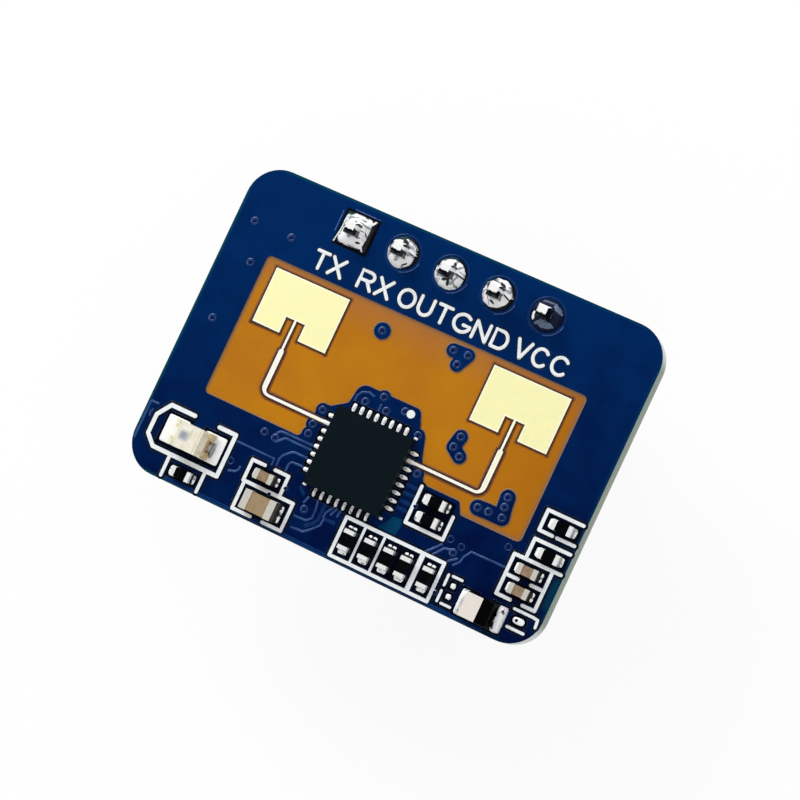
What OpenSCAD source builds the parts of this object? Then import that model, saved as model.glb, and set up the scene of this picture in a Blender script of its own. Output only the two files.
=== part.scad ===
// Microwave radar sensor module: a small circuit board with two patch antennas, one radar chip,
// an indicator LED, chip components, and a five-pin header soldered in from behind.
// Millimetres. The origin is on the middle pin's axis, in the plane of the header's underside.
// +X runs along the board towards its last pin, and +Z points out of the antenna side.

/* [Board] */
// Length of the board
board_l = 22; // [21.8:0.1:30]
// Width of the board
board_w = 16; // [15.4:0.1:24]
// Radius of the board's corners
corner_r = 1.7; // [0.5:0.1:2.4]
// Thickness of the glass-epoxy core
core_t = 1.08; // [0.6:0.02:1.6]
// Thickness of the copper foil
foil_t = 0.035; // [0.018:0.001:0.07]
// Thickness of the solder mask where it covers foil
mask_t = 0.025; // [0.015:0.005:0.05]
// Gap between a land and the edge of its opening in the mask
mask_gap = 0.04; // [0.02:0.01:0.06]
// Distance from the board's edge to the ground plane behind it
plane_inset = 0.3; // [0.2:0.05:0.6]
// Diameter of a small plated via
via_d = 0.3; // [0.2:0.05:0.35]
// Width of the mask ring that covers a via
via_ring = 0.18; // [0.1:0.02:0.2]

/* [Printed legend] */
// Thickness of the white ink
ink_t = 0.02; // [0.01:0.005:0.04]
// Width of the usual line
line_w = 0.21; // [0.15:0.01:0.24]
// Width of the line round the LED
bold_w = 0.25; // [0.18:0.01:0.28]
// Radius of the dot at the chip's first lead
dot_r = 0.2; // [0.1:0.02:0.24]
// Distance from a land to the middle of the line beside it
legend_gap = 0.26; // [0.2:0.01:0.3]
// Distance from the LED's lands to the middle of the line round them
led_line_gap = 0.32; // [0.26:0.01:0.36]
// How much further out the line stands at the LED's marked end
led_mark = 0.25; // [0.1:0.01:0.3]
// Distance from the board's edge to the middle of the nearest line
edge_gap = 0.24; // [0.2:0.01:0.3]

/* [Antennas] */
// How far the patches' middles lie above the board's middle
antenna_up = 2.12; // [1.9:0.02:2.2]
// Distance from a patch to the end of the bare window in the mask
window_side = 0.645; // [0.3:0.005:0.8]
// How far the window's left end reaches below the chip's middle
window_below = 0.12; // [0:0.02:0.2]
// How much further down the window reaches at its right end
window_drop = 0.16; // [0:0.02:0.2]
// Length of one patch
patch_l = 4.06; // [3.4:0.02:4.4]
// Width of one patch
patch_w = 2.86; // [2.4:0.02:3]
// Distance between the middles of the two patches
patch_pitch = 11.77; // [11.2:0.05:12]
// Distance from the window's top edge to a patch
patch_inset = 0.38; // [0.3:0.02:0.6]
// Depth of the two slots beside the feed line
slot_depth = 0.84; // [0.5:0.02:1.1]
// Width of each slot
slot_w = 0.4; // [0.25:0.01:0.5]
// Width of the feed line inside the patch
feed_w = 0.17; // [0.12:0.01:0.24]
// Width of the feed line below the patch
feed_wide = 0.32; // [0.26:0.01:0.4]
// Width of the feed line along the board
feed_run = 0.2; // [0.14:0.01:0.22]
// How far the narrow feed runs out of the patch
feed_step = 0.62; // [0.3:0.02:1]
// Outer radius of the bend in the feed line
feed_bend = 0.5; // [0.4:0.02:0.8]

/* [Radar chip] */
// Side of the square body
chip_w = 4; // [3.8:0.05:4.1]
// Height of the body
chip_h = 0.55; // [0.4:0.05:1.1]
// Distance between leads
lead_pitch = 0.4; // [0.38:0.005:0.42]
// Leads along each side
leads_per_side = 8; // [4:1:8]
// Width of a lead
lead_w = 0.2; // [0.14:0.01:0.22]
// How far a lead reaches under the body
lead_l = 0.4; // [0.3:0.02:0.46]
// Thickness of a lead
lead_t = 0.2; // [0.1:0.01:0.3]
// Side of the heat pad under the body
heat_pad_w = 2.6; // [2:0.05:2.7]
// How far a land shows outside the body
chip_land_out = 0.4; // [0.25:0.01:0.44]

/* [Chip components] */
// Length of a small resistor or capacitor
small_l = 1; // [0.9:0.02:1.06]
// Width of a small resistor or capacitor
small_w = 0.5; // [0.44:0.01:0.54]
// Height of a resistor
resistor_h = 0.35; // [0.25:0.01:0.5]
// Height of a small capacitor
capacitor_h = 0.5; // [0.35:0.01:0.6]
// Length of the supply capacitor
large_l = 1.68; // [1.5:0.02:1.74]
// Width of the supply capacitor
large_w = 0.96; // [0.85:0.01:1]
// Height of the supply capacitor
large_h = 0.8; // [0.6:0.02:1]
// How far a resistor's end cap reaches over it
resistor_wrap = 0.2; // [0.12:0.01:0.28]
// How far a small capacitor's end cap reaches over it
capacitor_wrap = 0.24; // [0.15:0.01:0.3]
// How far the supply capacitor's end cap reaches over it
large_wrap = 0.36; // [0.25:0.01:0.45]
// Thickness of an end cap
cap_t = 0.02; // [0.01:0.005:0.04]
// How far a land reaches past the component's end
land_out = 0.23; // [0.15:0.01:0.26]
// Gap between a component's underside and the solder mask
stand_off = 0.02; // [0.005:0.005:0.04]

/* [Indicator LED] */
// Length of the LED
led_l = 2.1; // [1.9:0.05:2.2]
// Width of the LED
led_w = 1.28; // [1.1:0.02:1.34]
// Height of its base plate
led_base_h = 0.3; // [0.2:0.02:0.4]
// Height of the LED
led_h = 0.8; // [0.6:0.05:1.1]
// Length of the clear resin at its foot
lens_l = 1.4; // [1.2:0.02:1.5]
// How much each end of the resin slopes in
lens_slope = 0.08; // [0.02:0.01:0.2]
// Length of a plated end
led_end_l = 0.32; // [0.26:0.01:0.34]
// Radius of the half-round notch in each end
led_notch_r = 0.2; // [0.1:0.01:0.24]
// Side of the light-giving die
die_w = 0.5; // [0.3:0.02:0.6]
// Height of the die
die_h = 0.12; // [0.08:0.01:0.2]
// How far the LED's lands reach past its ends
led_land_out = 0.6; // [0.4:0.02:0.64]
// How much wider the LED's lands are than the LED
led_land_side = 0.24; // [0.1:0.02:0.3]
// Distance between the LED's lands
led_land_gap = 0.76; // [0.5:0.02:1]

/* [Diode] */
// Length of the moulded body
diode_l = 1.5; // [1.3:0.05:1.6]
// Width of the moulded body
diode_w = 1.3; // [1.1:0.02:1.34]
// Height of the diode
diode_h = 1; // [0.8:0.05:1.2]
// How much the body's sides slope in above the leads
diode_slope = 0.06; // [0.02:0.01:0.12]
// Thickness of a lead
diode_lead_t = 0.14; // [0.08:0.01:0.2]
// How far a lead reaches out of the body
diode_lead_out = 0.28; // [0.2:0.01:0.32]
// How far the diode's lands reach past its leads
diode_land_out = 0.12; // [0.06:0.01:0.16]
// Distance between the diode's lands
diode_land_gap = 0.84; // [0.6:0.02:1]
// Length of the pale polarity band
band_l = 0.82; // [0.4:0.02:1]

/* [Pin header] */
// Distance between pins
pin_pitch = 2.54; // [2.5:0.01:2.6]
// Number of pins
pin_count = 5; // [3:1:6]
// Side of a square pin
pin_w = 0.64; // [0.5:0.01:0.66]
// How far a pin reaches below the housing
pin_below = 6; // [3:0.1:9]
// How far a pin stands proud of the board
pin_proud = 1.3; // [0.8:0.05:2]
// Length of the bevel at a pin's tips
pin_tip = 0.25; // [0.1:0.05:0.5]
// Width of the bevel on each side of a tip
pin_bevel = 0.1; // [0.05:0.01:0.15]
// Height of the housing
housing_h = 2.54; // [1.5:0.02:3]
// Width of the housing
housing_w = 2.5; // [2:0.05:2.7]
// Size of the notch between two pins
housing_notch = 0.4; // [0.2:0.05:0.6]
// Depth of the channel that keeps the housing off the solder
channel_h = 0.2; // [0.1:0.02:0.4]
// Width of that channel
channel_w = 1.3; // [1.1:0.05:1.5]
// Distance from the board's edge to the row of pins
row_inset = 1.4; // [1.3:0.02:1.6]
// Diameter of a drilled pin hole
drill_d = 1.06; // [1:0.01:1.1]
// Thickness of the plating in a hole
plating_t = 0.03; // [0.02:0.005:0.04]
// Radius of a round pin pad
pad_r = 0.8; // [0.7:0.01:0.9]
// Half the side of the first pin's square pad
pad_half = 0.85; // [0.75:0.01:0.9]
// Height of a solder joint above its pad
joint_h = 0.85; // [0.5:0.05:1.1]
// Gap between the ground plane and a pin pad that it stands off
plane_gap = 0.25; // [0.15:0.05:0.35]

/* [Hidden] */
$fn = 48;

// Heights, from the header's underside up
film_t = foil_t + mask_t;
rear_z = housing_h;
core_z = rear_z + film_t;
front_z = core_z + core_t;
mask_z = front_z + film_t;
bed_t = mask_t + stand_off;
stand_z = foil_t + bed_t;

// Sides of the board, measured from its middle
west = -board_l / 2;
east = board_l / 2;
south = -board_w / 2;
north = board_w / 2;
row_y = north - row_inset;

// Places that keep their share of the board's length, from the length they were measured on
measured_l = 22;
function along(x) = x * board_l / measured_l;

// The chip's middle, and the row of leads counted from there
chip_at = [along(-0.08), south + 4.78];
lead_row = (leads_per_side - 1) / 2;
feed_y = (lead_row - 1) * lead_pitch;

led_at = [west + 2.92, south + 2.35];
diode_at = [east - 2.87, south + 0.93];
test_pad_at = [east - 1.04, south + 1.24];
spare_at = [east - 4.51, south + 1.135];

// Pitch and side of the two spare lands, and half the length and half the width of the test pad
spare_pitch = 0.53;
spare_w = 0.28;
test_pad = [0.32, 0.18];

// Name, kind, middle and quarter turns of each chip component
chip_parts = [
    ["led_resistor", "resistor", [west + 3.19, south + 0.63], 0],
    ["row_resistor_1", "resistor", [east - 10.03, south + 1.2], 1],
    ["row_resistor_2", "resistor", [east - 8.95, south + 1.2], 1],
    ["row_resistor_3", "resistor", [east - 7.93, south + 1.2], 1],
    ["row_resistor_4", "resistor", [east - 7.03, south + 1.2], 1],
    ["row_resistor_5", "resistor", [east - 5.85, south + 1.2], 1],
    ["pair_resistor_1", "resistor", [chip_at[0] + 4.19, south + 4.52], 0],
    ["pair_resistor_2", "resistor", [chip_at[0] + 4.19, south + 3.64], 0],
    ["side_resistor_1", "resistor", [east - 0.99, south + 5.94], 0],
    ["side_resistor_2", "resistor", [east - 0.99, south + 4.49], 0],
    ["side_capacitor_1", "capacitor", [east - 1.56, south + 3.46], 0],
    ["side_capacitor_2", "capacitor", [east - 1.56, south + 2.48], 0],
    ["bypass_capacitor", "capacitor", [along(-3.95), south + 2.22], 0],
    ["supply_capacitor", "large capacitor", [along(-3.52), south + 0.92], 0],
];

// Length, width, height, end-cap reach and gap between lands, by kind
function sizes(kind) =
    kind == "resistor" ? [small_l, small_w, resistor_h, resistor_wrap, 0.5 * small_l]
    : kind == "capacitor" ? [small_l, small_w, capacitor_h, capacitor_wrap, 0.5 * small_l]
    : [large_l, large_w, large_h, large_wrap, 0.5 * large_l];

// The middle of a named component
function spot(name) = [for (part = chip_parts) if (part[0] == name) part[2]][0];

// Vias measured from the chip's middle
chip_vias = [
    [-0.3, 3.22], [-1.04, 2.67], [0.08, 2.67], [0.93, 3.02], [1.98, 2.25], [-2.77, 1.47],
    [-2.92, 0.67], [-2.92, 0.17], [2.73, 0.62],
];
outer_vias = [[-4.92, -0.63], [-4.32, -0.68], [-1.52, -3.13], [5.88, -1.98]];
corner_five = [[7.13, 1.39], [7.18, 0.92], [7.28, 0.42], [6.58, 0.42], [6.03, 0.39]];

// The patches' edges measured from the chip's middle, and three vias at shares of the gap between
// the feed line and a patch
patch_top = antenna_up + patch_w / 2 - chip_at[1];
patch_foot = patch_top - patch_w;
gap_trio = [
    for (v = [[3.88, 0.6976], [3.76, 0.50515], [4.21, 0.39863]])
        [v[0], feed_y + v[1] * (patch_foot - feed_y)]
];

// Vias measured from the point midway between the patches
between_patches = [chip_at[0], antenna_up];
lone_via = [[-1.77, 0.7]];
upper_trio = [[1.78, 1.23], [2.53, 1.28], [2.23, 0.68]];

edge_vias = [
    [west + 1, north - 2.87], [west + 3.05, north - 2.9], [west + 1.7, north - 4.77],
    [west + 1.15, south + 8.05],
];
all_vias = concat(
    [for (v = concat(chip_vias, outer_vias, gap_trio, corner_five)) chip_at + v],
    [for (v = concat(lone_via, upper_trio)) between_patches + v],
    edge_vias
);

// Geometry helpers

function unit(v) = v / norm(v);
function bearing(v) = atan2(v[1], v[0]);
function flat(p) = [p[0], p[1]];
function arc(c, r, from, to, n) =
    [for (i = [0:n]) c + r * [cos(from + (to - from) * i / n), sin(from + (to - from) * i / n)]];

// An outline whose corners [x, y, r] are rounded to their own radius
function rounded(pts, steps = 5) = [
    for (i = [0:len(pts) - 1])
        let (
            p = flat(pts[i]),
            r = pts[i][2],
            a = unit(flat(pts[(i + len(pts) - 1) % len(pts)]) - p),
            b = unit(flat(pts[(i + 1) % len(pts)]) - p),
            half = acos(a * b) / 2,
            c = p + unit(a + b) * r / sin(half),
            start = bearing(p + a * r / tan(half) - c),
            sweep = bearing(p + b * r / tan(half) - c) - start,
            turn = sweep > 180 ? sweep - 360 : sweep < -180 ? sweep + 360 : sweep
        )
        each (r > 0 ? arc(c, r, start, start + turn, steps) : [p])
];

// The left-hand edge of a drawn line at each of its bends
function line_edge(pts, w) = [
    for (i = [1:1:len(pts) - 2])
        let (
            a = unit(pts[i] - pts[i - 1]),
            b = unit(pts[i + 1] - pts[i]),
            bend = a[0] * b[1] - a[1] * b[0],
            left = bearing(a) + 90,
            turn = asin(bend)
        )
        each (bend < 0
            ? arc(pts[i], w / 2, left, left + turn, 4)
            : [pts[i] + w / 2 * unit([-a[1] - b[1], a[0] + b[0]]) / cos(turn / 2)])
];
function line_end(pts, w) =
    let (a = bearing(pts[len(pts) - 1] - pts[len(pts) - 2]))
    arc(pts[len(pts) - 1], w / 2, a + 90, a - 90, 6);
function backwards(pts) = [for (i = [len(pts) - 1:-1:0]) pts[i]];

// A line drawn with a round nib through a row of points, with bends of up to a right angle
module drawn(pts, w = line_w) {
    back = backwards(pts);
    polygon(concat(line_edge(pts, w), line_end(pts, w), line_edge(back, w), line_end(back, w)));
}

module rounded_plate(l, w, r) {
    square([l - 2 * r, w], center = true);
    square([l, w - 2 * r], center = true);
    for (x = [-1, 1], y = [-1, 1])
        translate([x * (l / 2 - r), y * (w / 2 - r)]) circle(r);
}

// Circles of radius r round each point, joined along the row and filled between
module blob(pts, r) {
    for (p = pts) translate(p) circle(r);
    for (i = [0:1:len(pts) - 2])
        let (v = pts[i + 1] - pts[i])
        translate(pts[i]) rotate(bearing(v)) translate([0, -r]) square([norm(v), 2 * r]);
    if (len(pts) == 3) polygon(pts);
}

module box(l, w, h) {
    translate([-l / 2, -w / 2, 0]) cube([l, w, h]);
}

// Moves what is drawn about the board's middle to its height z
module on_board(z) {
    translate([0, -row_y, z]) children();
}

module at_chip() {
    translate(chip_at) children();
}

module placed(part, z) {
    on_board(z) translate(part[2]) rotate(90 * part[3]) children();
}

module each_pin() {
    for (i = [0:pin_count - 1])
        translate([(i - (pin_count - 1) / 2) * pin_pitch, 0]) {
            $pin = i;
            children();
        }
}

// A round pad, or a square one at the first pin
module pad_shape(gap = 0) {
    if ($pin == 0) square(2 * (pad_half + gap), center = true);
    else circle(pad_r + gap);
}

module pin_pads(gap = 0) {
    translate([0, row_y]) each_pin() pad_shape(gap);
}

// Bare board

module board_outline() {
    rounded_plate(board_l, board_w, corner_r);
}

module laminate() {
    color("#b0853c") on_board(core_z) linear_extrude(core_t) difference() {
        board_outline();
        translate([0, row_y]) each_pin() circle(d = drill_d);
        for (v = all_vias) translate(v) circle(d = via_d);
    }
}

module vias() {
    color("#c98b5a") on_board(core_z)
        for (v = all_vias) translate(v) cylinder(d = via_d, h = core_t);
}

// The ground plane joins the pad of the last pin but one, and stands off the others
ground_pin = pin_count - 2;

module plane_outline() {
    difference() {
        rounded_plate(
            board_l - 2 * plane_inset, board_w - 2 * plane_inset, corner_r - plane_inset
        );
        translate([0, row_y]) each_pin() pad_shape($pin == ground_pin ? 0 : plane_gap);
    }
}

module ground_plane() {
    color("#c98b5a") on_board(core_z - foil_t) linear_extrude(foil_t) plane_outline();
}

module plated_holes() {
    color("#d9c27a") translate([0, 0, core_z]) each_pin() difference() {
        union() {
            translate([0, 0, -foil_t]) linear_extrude(foil_t) pad_shape();
            cylinder(d = drill_d, h = core_t);
            translate([0, 0, core_t]) linear_extrude(foil_t) pad_shape();
        }
        translate([0, 0, -1]) cylinder(d = drill_d - 2 * plating_t, h = core_t + 2);
    }
}

// The window round the patches, measured from the chip's middle
window_end = (patch_pitch + patch_l) / 2 + window_side;
window_top = patch_top + patch_inset;
window_foot = -window_below - window_drop;

// The mask's apron round the chip is cut into the window's lower edge
pair_at = spot("pair_resistor_1") - chip_at;
pair_top = pair_at[1] + 0.55;
window_outline = rounded([
    [-window_end, window_top, 0.25],
    [-window_end, -window_below, 0.25],
    [-3.3, -window_below, 0.2],
    [-3.06, 0.6, 0.15],
    [-3.06, 1.76, 0.25],
    [-2.5, 1.8, 0.2],
    [-1.75, 2.3, 0.25],
    [-1.6, 3.4, 0.5],
    [1.6, 3.4, 0.3],
    [1.95, 2.5, 0.2],
    [2.32, 2.35, 0.2],
    [2.62, 1.4, 0.2],
    [pair_at[0] - 0.99, pair_top, 0.15],
    [pair_at[0] + 0.93, pair_top, 0.12],
    [pair_at[0] + 1.23, window_foot, 0.1],
    [window_end, window_foot, 0.25],
    [window_end, window_top, 0.25],
]);

module mask_window() {
    difference() {
        polygon(window_outline);
        for (v = chip_vias) translate(v) circle(via_d / 2 + via_ring);
        translate(between_patches - chip_at) {
            blob(lone_via, via_d / 2 + 1.4 * via_ring);
            blob(upper_trio, via_d / 2 + via_ring);
        }
        blob(gap_trio, via_d / 2 + via_ring);
        blob(corner_five, via_d / 2 + 1.2 * via_ring);
    }
}

module solder_mask_front() {
    color("#0b2a66") on_board(front_z) linear_extrude(film_t) difference() {
        board_outline();
        at_chip() {
            mask_window();
            feed_slots();
            chip_land_shapes(mask_gap);
        }
        pin_pads(2 * mask_gap);
        component_land_shapes(mask_gap);
    }
}

module solder_mask_rear() {
    color("#0b2a66") on_board(rear_z) difference() {
        linear_extrude(film_t) difference() {
            board_outline();
            pin_pads(2 * mask_gap);
        }
        translate([0, 0, mask_t]) linear_extrude(foil_t + 1) plane_outline();
    }
}

// Antennas

feed_end = chip_w / 2 + chip_land_out;

// A patch fed through an inset between two slots, drawn from the chip's middle to its right
module antenna_shape() {
    x = patch_pitch / 2;
    slot_out = feed_w / 2 + slot_w;
    step_y = patch_foot - feed_step;
    polygon(rounded([
        [x - patch_l / 2, patch_top, 0],
        [x - patch_l / 2, patch_foot, 0],
        [x - slot_out, patch_foot, 0],
        [x - slot_out, patch_foot + slot_depth, 0],
        [x - feed_w / 2, patch_foot + slot_depth, 0],
        [x - feed_w / 2, step_y, 0],
        [x - feed_wide / 2, step_y - 0.08, 0],
        [x - feed_wide / 2, feed_y + feed_run / 2, feed_bend - feed_wide],
        [feed_end, feed_y + feed_run / 2, 0],
        [feed_end, feed_y - feed_run / 2, 0],
        [x + feed_wide / 2, feed_y - feed_run / 2, feed_bend],
        [x + feed_wide / 2, step_y - 0.08, 0],
        [x + feed_w / 2, step_y, 0],
        [x + feed_w / 2, patch_foot + slot_depth, 0],
        [x + slot_out, patch_foot + slot_depth, 0],
        [x + slot_out, patch_foot, 0],
        [x + patch_l / 2, patch_foot, 0],
        [x + patch_l / 2, patch_top, 0],
    ]));
}

module antenna_right() {
    color("#f3e3a4") on_board(front_z) linear_extrude(foil_t) at_chip() antenna_shape();
}

module antenna_left() {
    color("#f3e3a4") on_board(front_z) linear_extrude(foil_t) at_chip() mirror([1, 0]) antenna_shape();
}

// Clear lanes in the mask's apron, so that the feed lines reach the chip bare
module feed_slots() {
    for (s = [-1, 1])
        translate([s * (feed_end + 0.5), feed_y])
            square([1.1, feed_run + 2 * mask_gap + 0.06], center = true);
}

// Radar chip

module around_chip() {
    for (side = [0:3], i = [0:leads_per_side - 1])
        rotate(90 * side) translate([chip_w / 2, (i - lead_row) * lead_pitch]) children();
}

module chip_land_shapes(gap = 0) {
    around_chip() translate([-lead_l - gap, -lead_w / 2 - gap])
        square([lead_l + chip_land_out + 2 * gap, lead_w + 2 * gap]);
    square(heat_pad_w + 2 * gap, center = true);
}

module chip_lands() {
    color("#e6c66a") on_board(front_z) linear_extrude(foil_t) at_chip() chip_land_shapes();
}

// A bed of solder under each lead, with a low toe outside the body
module chip_solder() {
    toe = [
        [-lead_l, 0], [chip_land_out, 0], [chip_land_out, 0.4 * bed_t], [chip_land_out - 0.08, 0.9 * bed_t],
        [0.12, 1.3 * bed_t], [0.02, 0.6 * lead_t], [0, 0.6 * lead_t], [0, bed_t], [-lead_l, bed_t],
    ];
    color("#d8dadb") on_board(front_z + foil_t) at_chip() {
        around_chip() rotate([90, 0, 0]) translate([0, 0, -lead_w / 2])
            linear_extrude(lead_w) polygon(toe);
        box(heat_pad_w, heat_pad_w, bed_t);
    }
}

module chip_lead_blocks() {
    around_chip() translate([-lead_l, -lead_w / 2, 0]) cube([lead_l, lead_w, lead_t]);
    box(heat_pad_w, heat_pad_w, lead_t);
}

module radar_chip_leads() {
    color("#c9cdd0") on_board(front_z + stand_z) at_chip() chip_lead_blocks();
}

module radar_chip_body() {
    color("#14191c") on_board(front_z + stand_z) at_chip() difference() {
        box(chip_w, chip_w, chip_h);
        chip_lead_blocks();
    }
}

// Chip components

module chip_ends(part) {
    s = sizes(part[1]);
    color("#d3d6d8") placed(part, front_z + stand_z) for (side = [0, 180]) rotate(side)
        difference() {
            translate([s[0] / 2 - s[3], -s[1] / 2, 0]) cube([s[3], s[1], s[2]]);
            translate([s[0] / 2 - s[3] - 1, cap_t - s[1] / 2, cap_t])
                cube([s[3] + 1 - cap_t, s[1] - 2 * cap_t, s[2] - 2 * cap_t]);
        }
}

module chip_body(part) {
    s = sizes(part[1]);
    color(part[1] == "resistor" ? "#15181a" : "#a8906c")
        placed(part, front_z + stand_z) translate([0, 0, cap_t])
            box(s[0] - 2 * cap_t, s[1] - 2 * cap_t, s[2] - 2 * cap_t);
}

led_land_end = led_l / 2 + led_land_out;
led_land_w = led_w + led_land_side;
diode_lead_end = diode_l / 2 + diode_lead_out;
diode_land_end = diode_lead_end + diode_land_out;

// The two lands of a component: half the gap between them, their outer end and their width
module land_pair(gap_half, outer, w, gap = 0) {
    for (s = [-1, 1])
        translate([s * (gap_half + outer) / 2, 0])
            square([outer - gap_half + 2 * gap, w + 2 * gap], center = true);
}

module component_land_shapes(gap = 0) {
    for (part = chip_parts)
        let (s = sizes(part[1]))
        translate(part[2]) rotate(90 * part[3]) land_pair(s[4] / 2, s[0] / 2 + land_out, s[1], gap);
    translate(led_at) land_pair(led_land_gap / 2, led_land_end, led_land_w, gap);
    translate(diode_at) land_pair(diode_land_gap / 2, diode_land_end, diode_w, gap);
    for (s = [-1, 1])
        translate(spare_at + [0, s * spare_pitch / 2]) square(spare_w + 2 * gap, center = true);
    translate(test_pad_at)
        blob([[test_pad[1] - test_pad[0], 0], [test_pad[0] - test_pad[1], 0]], test_pad[1] + gap);
}

module component_lands() {
    color("#e6c66a") on_board(front_z) linear_extrude(foil_t) component_land_shapes();
}

// One pair of solder joints: a bed on each land, and a hollow fillet up the component's end
module joint_pair(gap_half, end, outer, w, climb, toe_t) {
    reach = outer - end;
    fillet = [
        for (i = [0:5]) [outer - reach * sin(15 * i + 15), toe_t + (climb - toe_t) * (1 - cos(15 * i + 15))]
    ];
    for (side = [0, 180]) rotate(side) rotate([90, 0, 0]) translate([0, 0, -w / 2])
        linear_extrude(w) polygon(concat(
            [[gap_half, 0], [outer, 0], [outer, toe_t]], fillet, [[end, bed_t], [gap_half, bed_t]]
        ));
}

module reflow_solder() {
    color("#d8dadb") {
        for (part = chip_parts)
            let (s = sizes(part[1]))
            placed(part, front_z + foil_t)
                joint_pair(s[4] / 2, s[0] / 2, s[0] / 2 + land_out, s[1], 0.7 * s[2], 0.5 * bed_t);
        on_board(front_z + foil_t) {
            translate(led_at)
                joint_pair(led_land_gap / 2, led_l / 2, led_land_end, led_land_w, led_base_h, bed_t);
            translate(diode_at) joint_pair(
                diode_land_gap / 2, diode_lead_end, diode_land_end, diode_w, stand_z + 0.1, 0.6 * bed_t
            );
        }
    }
}

// Indicator LED

module on_led(z) {
    on_board(front_z + stand_z + z) translate(led_at) children();
}

module led_notches() {
    for (s = [-1, 1]) translate([s * led_l / 2, 0, -1]) cylinder(r = led_notch_r, h = led_base_h + 2);
}

module led_end_shells() {
    for (side = [0, 180]) rotate(side) difference() {
        translate([led_l / 2 - led_end_l, -led_w / 2, 0]) cube([led_end_l, led_w, led_base_h]);
        translate([led_l / 2 - led_end_l - 1, -led_w / 2 - 1, cap_t])
            cube([led_end_l + 1 - cap_t, led_w + 2, led_base_h - 2 * cap_t]);
    }
}

module indicator_led_ends() {
    color("#d8d2b8") on_led(0) difference() {
        led_end_shells();
        led_notches();
    }
}

module indicator_led_base() {
    color("#e8e4d4") on_led(0) difference() {
        box(led_l, led_w, led_base_h);
        led_end_shells();
        led_notches();
    }
}

die_x = -0.28;

module indicator_led_die() {
    color("#9aa6b0") on_led(led_base_h) translate([die_x, 0, 0]) box(die_w, die_w, die_h);
}

module indicator_led_lens() {
    h = led_h - led_base_h;
    color("#efe6c8") on_led(led_base_h) difference() {
        rotate([90, 0, 0]) translate([0, 0, -led_w / 2]) linear_extrude(led_w) polygon([
            [-lens_l / 2, 0], [lens_l / 2, 0], [lens_l / 2 - lens_slope, h], [lens_slope - lens_l / 2, h],
        ]);
        translate([die_x, 0, -1]) box(die_w, die_w, die_h + 1);
    }
}

// Diode

module on_diode(z) {
    on_board(front_z + stand_z + z) translate(diode_at) children();
}

// The body's section along its length or width, with draft above the leads
module diode_section(w, depth) {
    rotate([90, 0, 0]) translate([0, 0, -depth / 2]) linear_extrude(depth) polygon([
        [-w / 2, 0], [w / 2, 0], [w / 2, diode_lead_t], [w / 2 - diode_slope, diode_h],
        [diode_slope - w / 2, diode_h], [-w / 2, diode_lead_t],
    ]);
}

diode_lead_w = 0.8 * diode_w;

module diode_lead_blocks() {
    for (side = [0, 180]) rotate(side)
        translate([diode_l / 2 - 0.3, -diode_lead_w / 2, 0])
            cube([0.3 + diode_lead_out, diode_lead_w, diode_lead_t]);
}

module diode_leads() {
    color("#d3d6d8") on_diode(0) diode_lead_blocks();
}

module diode_body() {
    color("#111315") on_diode(0) difference() {
        intersection() {
            diode_section(diode_l, diode_w);
            rotate(90) diode_section(diode_w, diode_l);
        }
        diode_lead_blocks();
    }
}

module diode_band() {
    color("#efeae4") on_diode(diode_h)
        translate([diode_slope - diode_l / 2, diode_slope - diode_w / 2, 0])
            cube([band_l, diode_w - 2 * diode_slope, ink_t]);
}

// Pin header

// A square bar between two heights, bevelled to a blunt tip at both ends
module pointed_bar(w, low, high, tip, bevel) {
    face = w / 2 - bevel;
    side = [
        [-face, low], [face, low], [w / 2, low + tip], [w / 2, high - tip],
        [face, high], [-face, high], [-w / 2, high - tip], [-w / 2, low + tip],
    ];
    intersection() {
        rotate([90, 0, 0]) translate([0, 0, -w]) linear_extrude(2 * w) polygon(side);
        rotate(90) rotate([90, 0, 0]) translate([0, 0, -w]) linear_extrude(2 * w) polygon(side);
    }
}

module header_pin(i) {
    color("#d9c27a") translate([(i - (pin_count - 1) / 2) * pin_pitch, 0])
        pointed_bar(pin_w, -pin_below, mask_z + pin_proud, pin_tip, pin_bevel);
}

module header_housing() {
    half = pin_pitch / 2;
    edge = [
        for (i = [0:pin_count - 1])
            let (x = (i - (pin_count - 1) / 2) * pin_pitch)
            each [
                [x - half, housing_w / 2 - housing_notch], [x - half + housing_notch, housing_w / 2],
                [x + half - housing_notch, housing_w / 2],
            ]
    ];
    last = [pin_count * half, housing_w / 2 - housing_notch];
    top = concat(edge, [last]);
    color("#1b1b1d") difference() {
        linear_extrude(housing_h) polygon(concat(top, [for (p = backwards(top)) [p[0], -p[1]]]));
        each_pin() translate([0, 0, -1]) box(pin_w, pin_w, housing_h + 2);
        translate([0, 0, housing_h - channel_h]) box(pin_count * pin_pitch + 1, channel_w, channel_h + 1);
    }
}

// The hollow-sided cone that solder draws up a pin, turned about the pin's axis
module solder_cone(r) {
    neck = 0.56 * pin_w;
    side = [
        for (i = [0:8])
            let (a = 90 * i / 8)
            [r - (r - neck) * sin(a), 0.1 + (joint_h - 0.1) * (1 - cos(a))]
    ];
    rotate_extrude() polygon(concat([[0, 0], [r, 0]], side, [[0, joint_h]]));
}

module pin_solder() {
    hole_r = drill_d / 2 - plating_t;
    color("#cfd2d4") each_pin() difference() {
        union() {
            translate([0, 0, core_z - foil_t]) cylinder(r = hole_r, h = core_t + 2 * foil_t);
            translate([0, 0, front_z + foil_t])
                if ($pin == 0)
                    intersection() {
                        solder_cone(pad_half * sqrt(2));
                        box(2 * pad_half, 2 * pad_half, 2 * joint_h);
                    }
                else solder_cone(pad_r);
        }
        translate([0, 0, core_z - 1]) box(pin_w, pin_w, core_t + joint_h + 3);
    }
}

// Printed legend

// Half the size of the lines round a component's lands
function frame_of(kind) =
    let (s = sizes(kind))
    [s[0] / 2 + land_out + legend_gap, s[1] / 2 + legend_gap];
small = frame_of("resistor");
large = frame_of("large capacitor");
foot_line = south + edge_gap;
end_line = east - 0.16;

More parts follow.
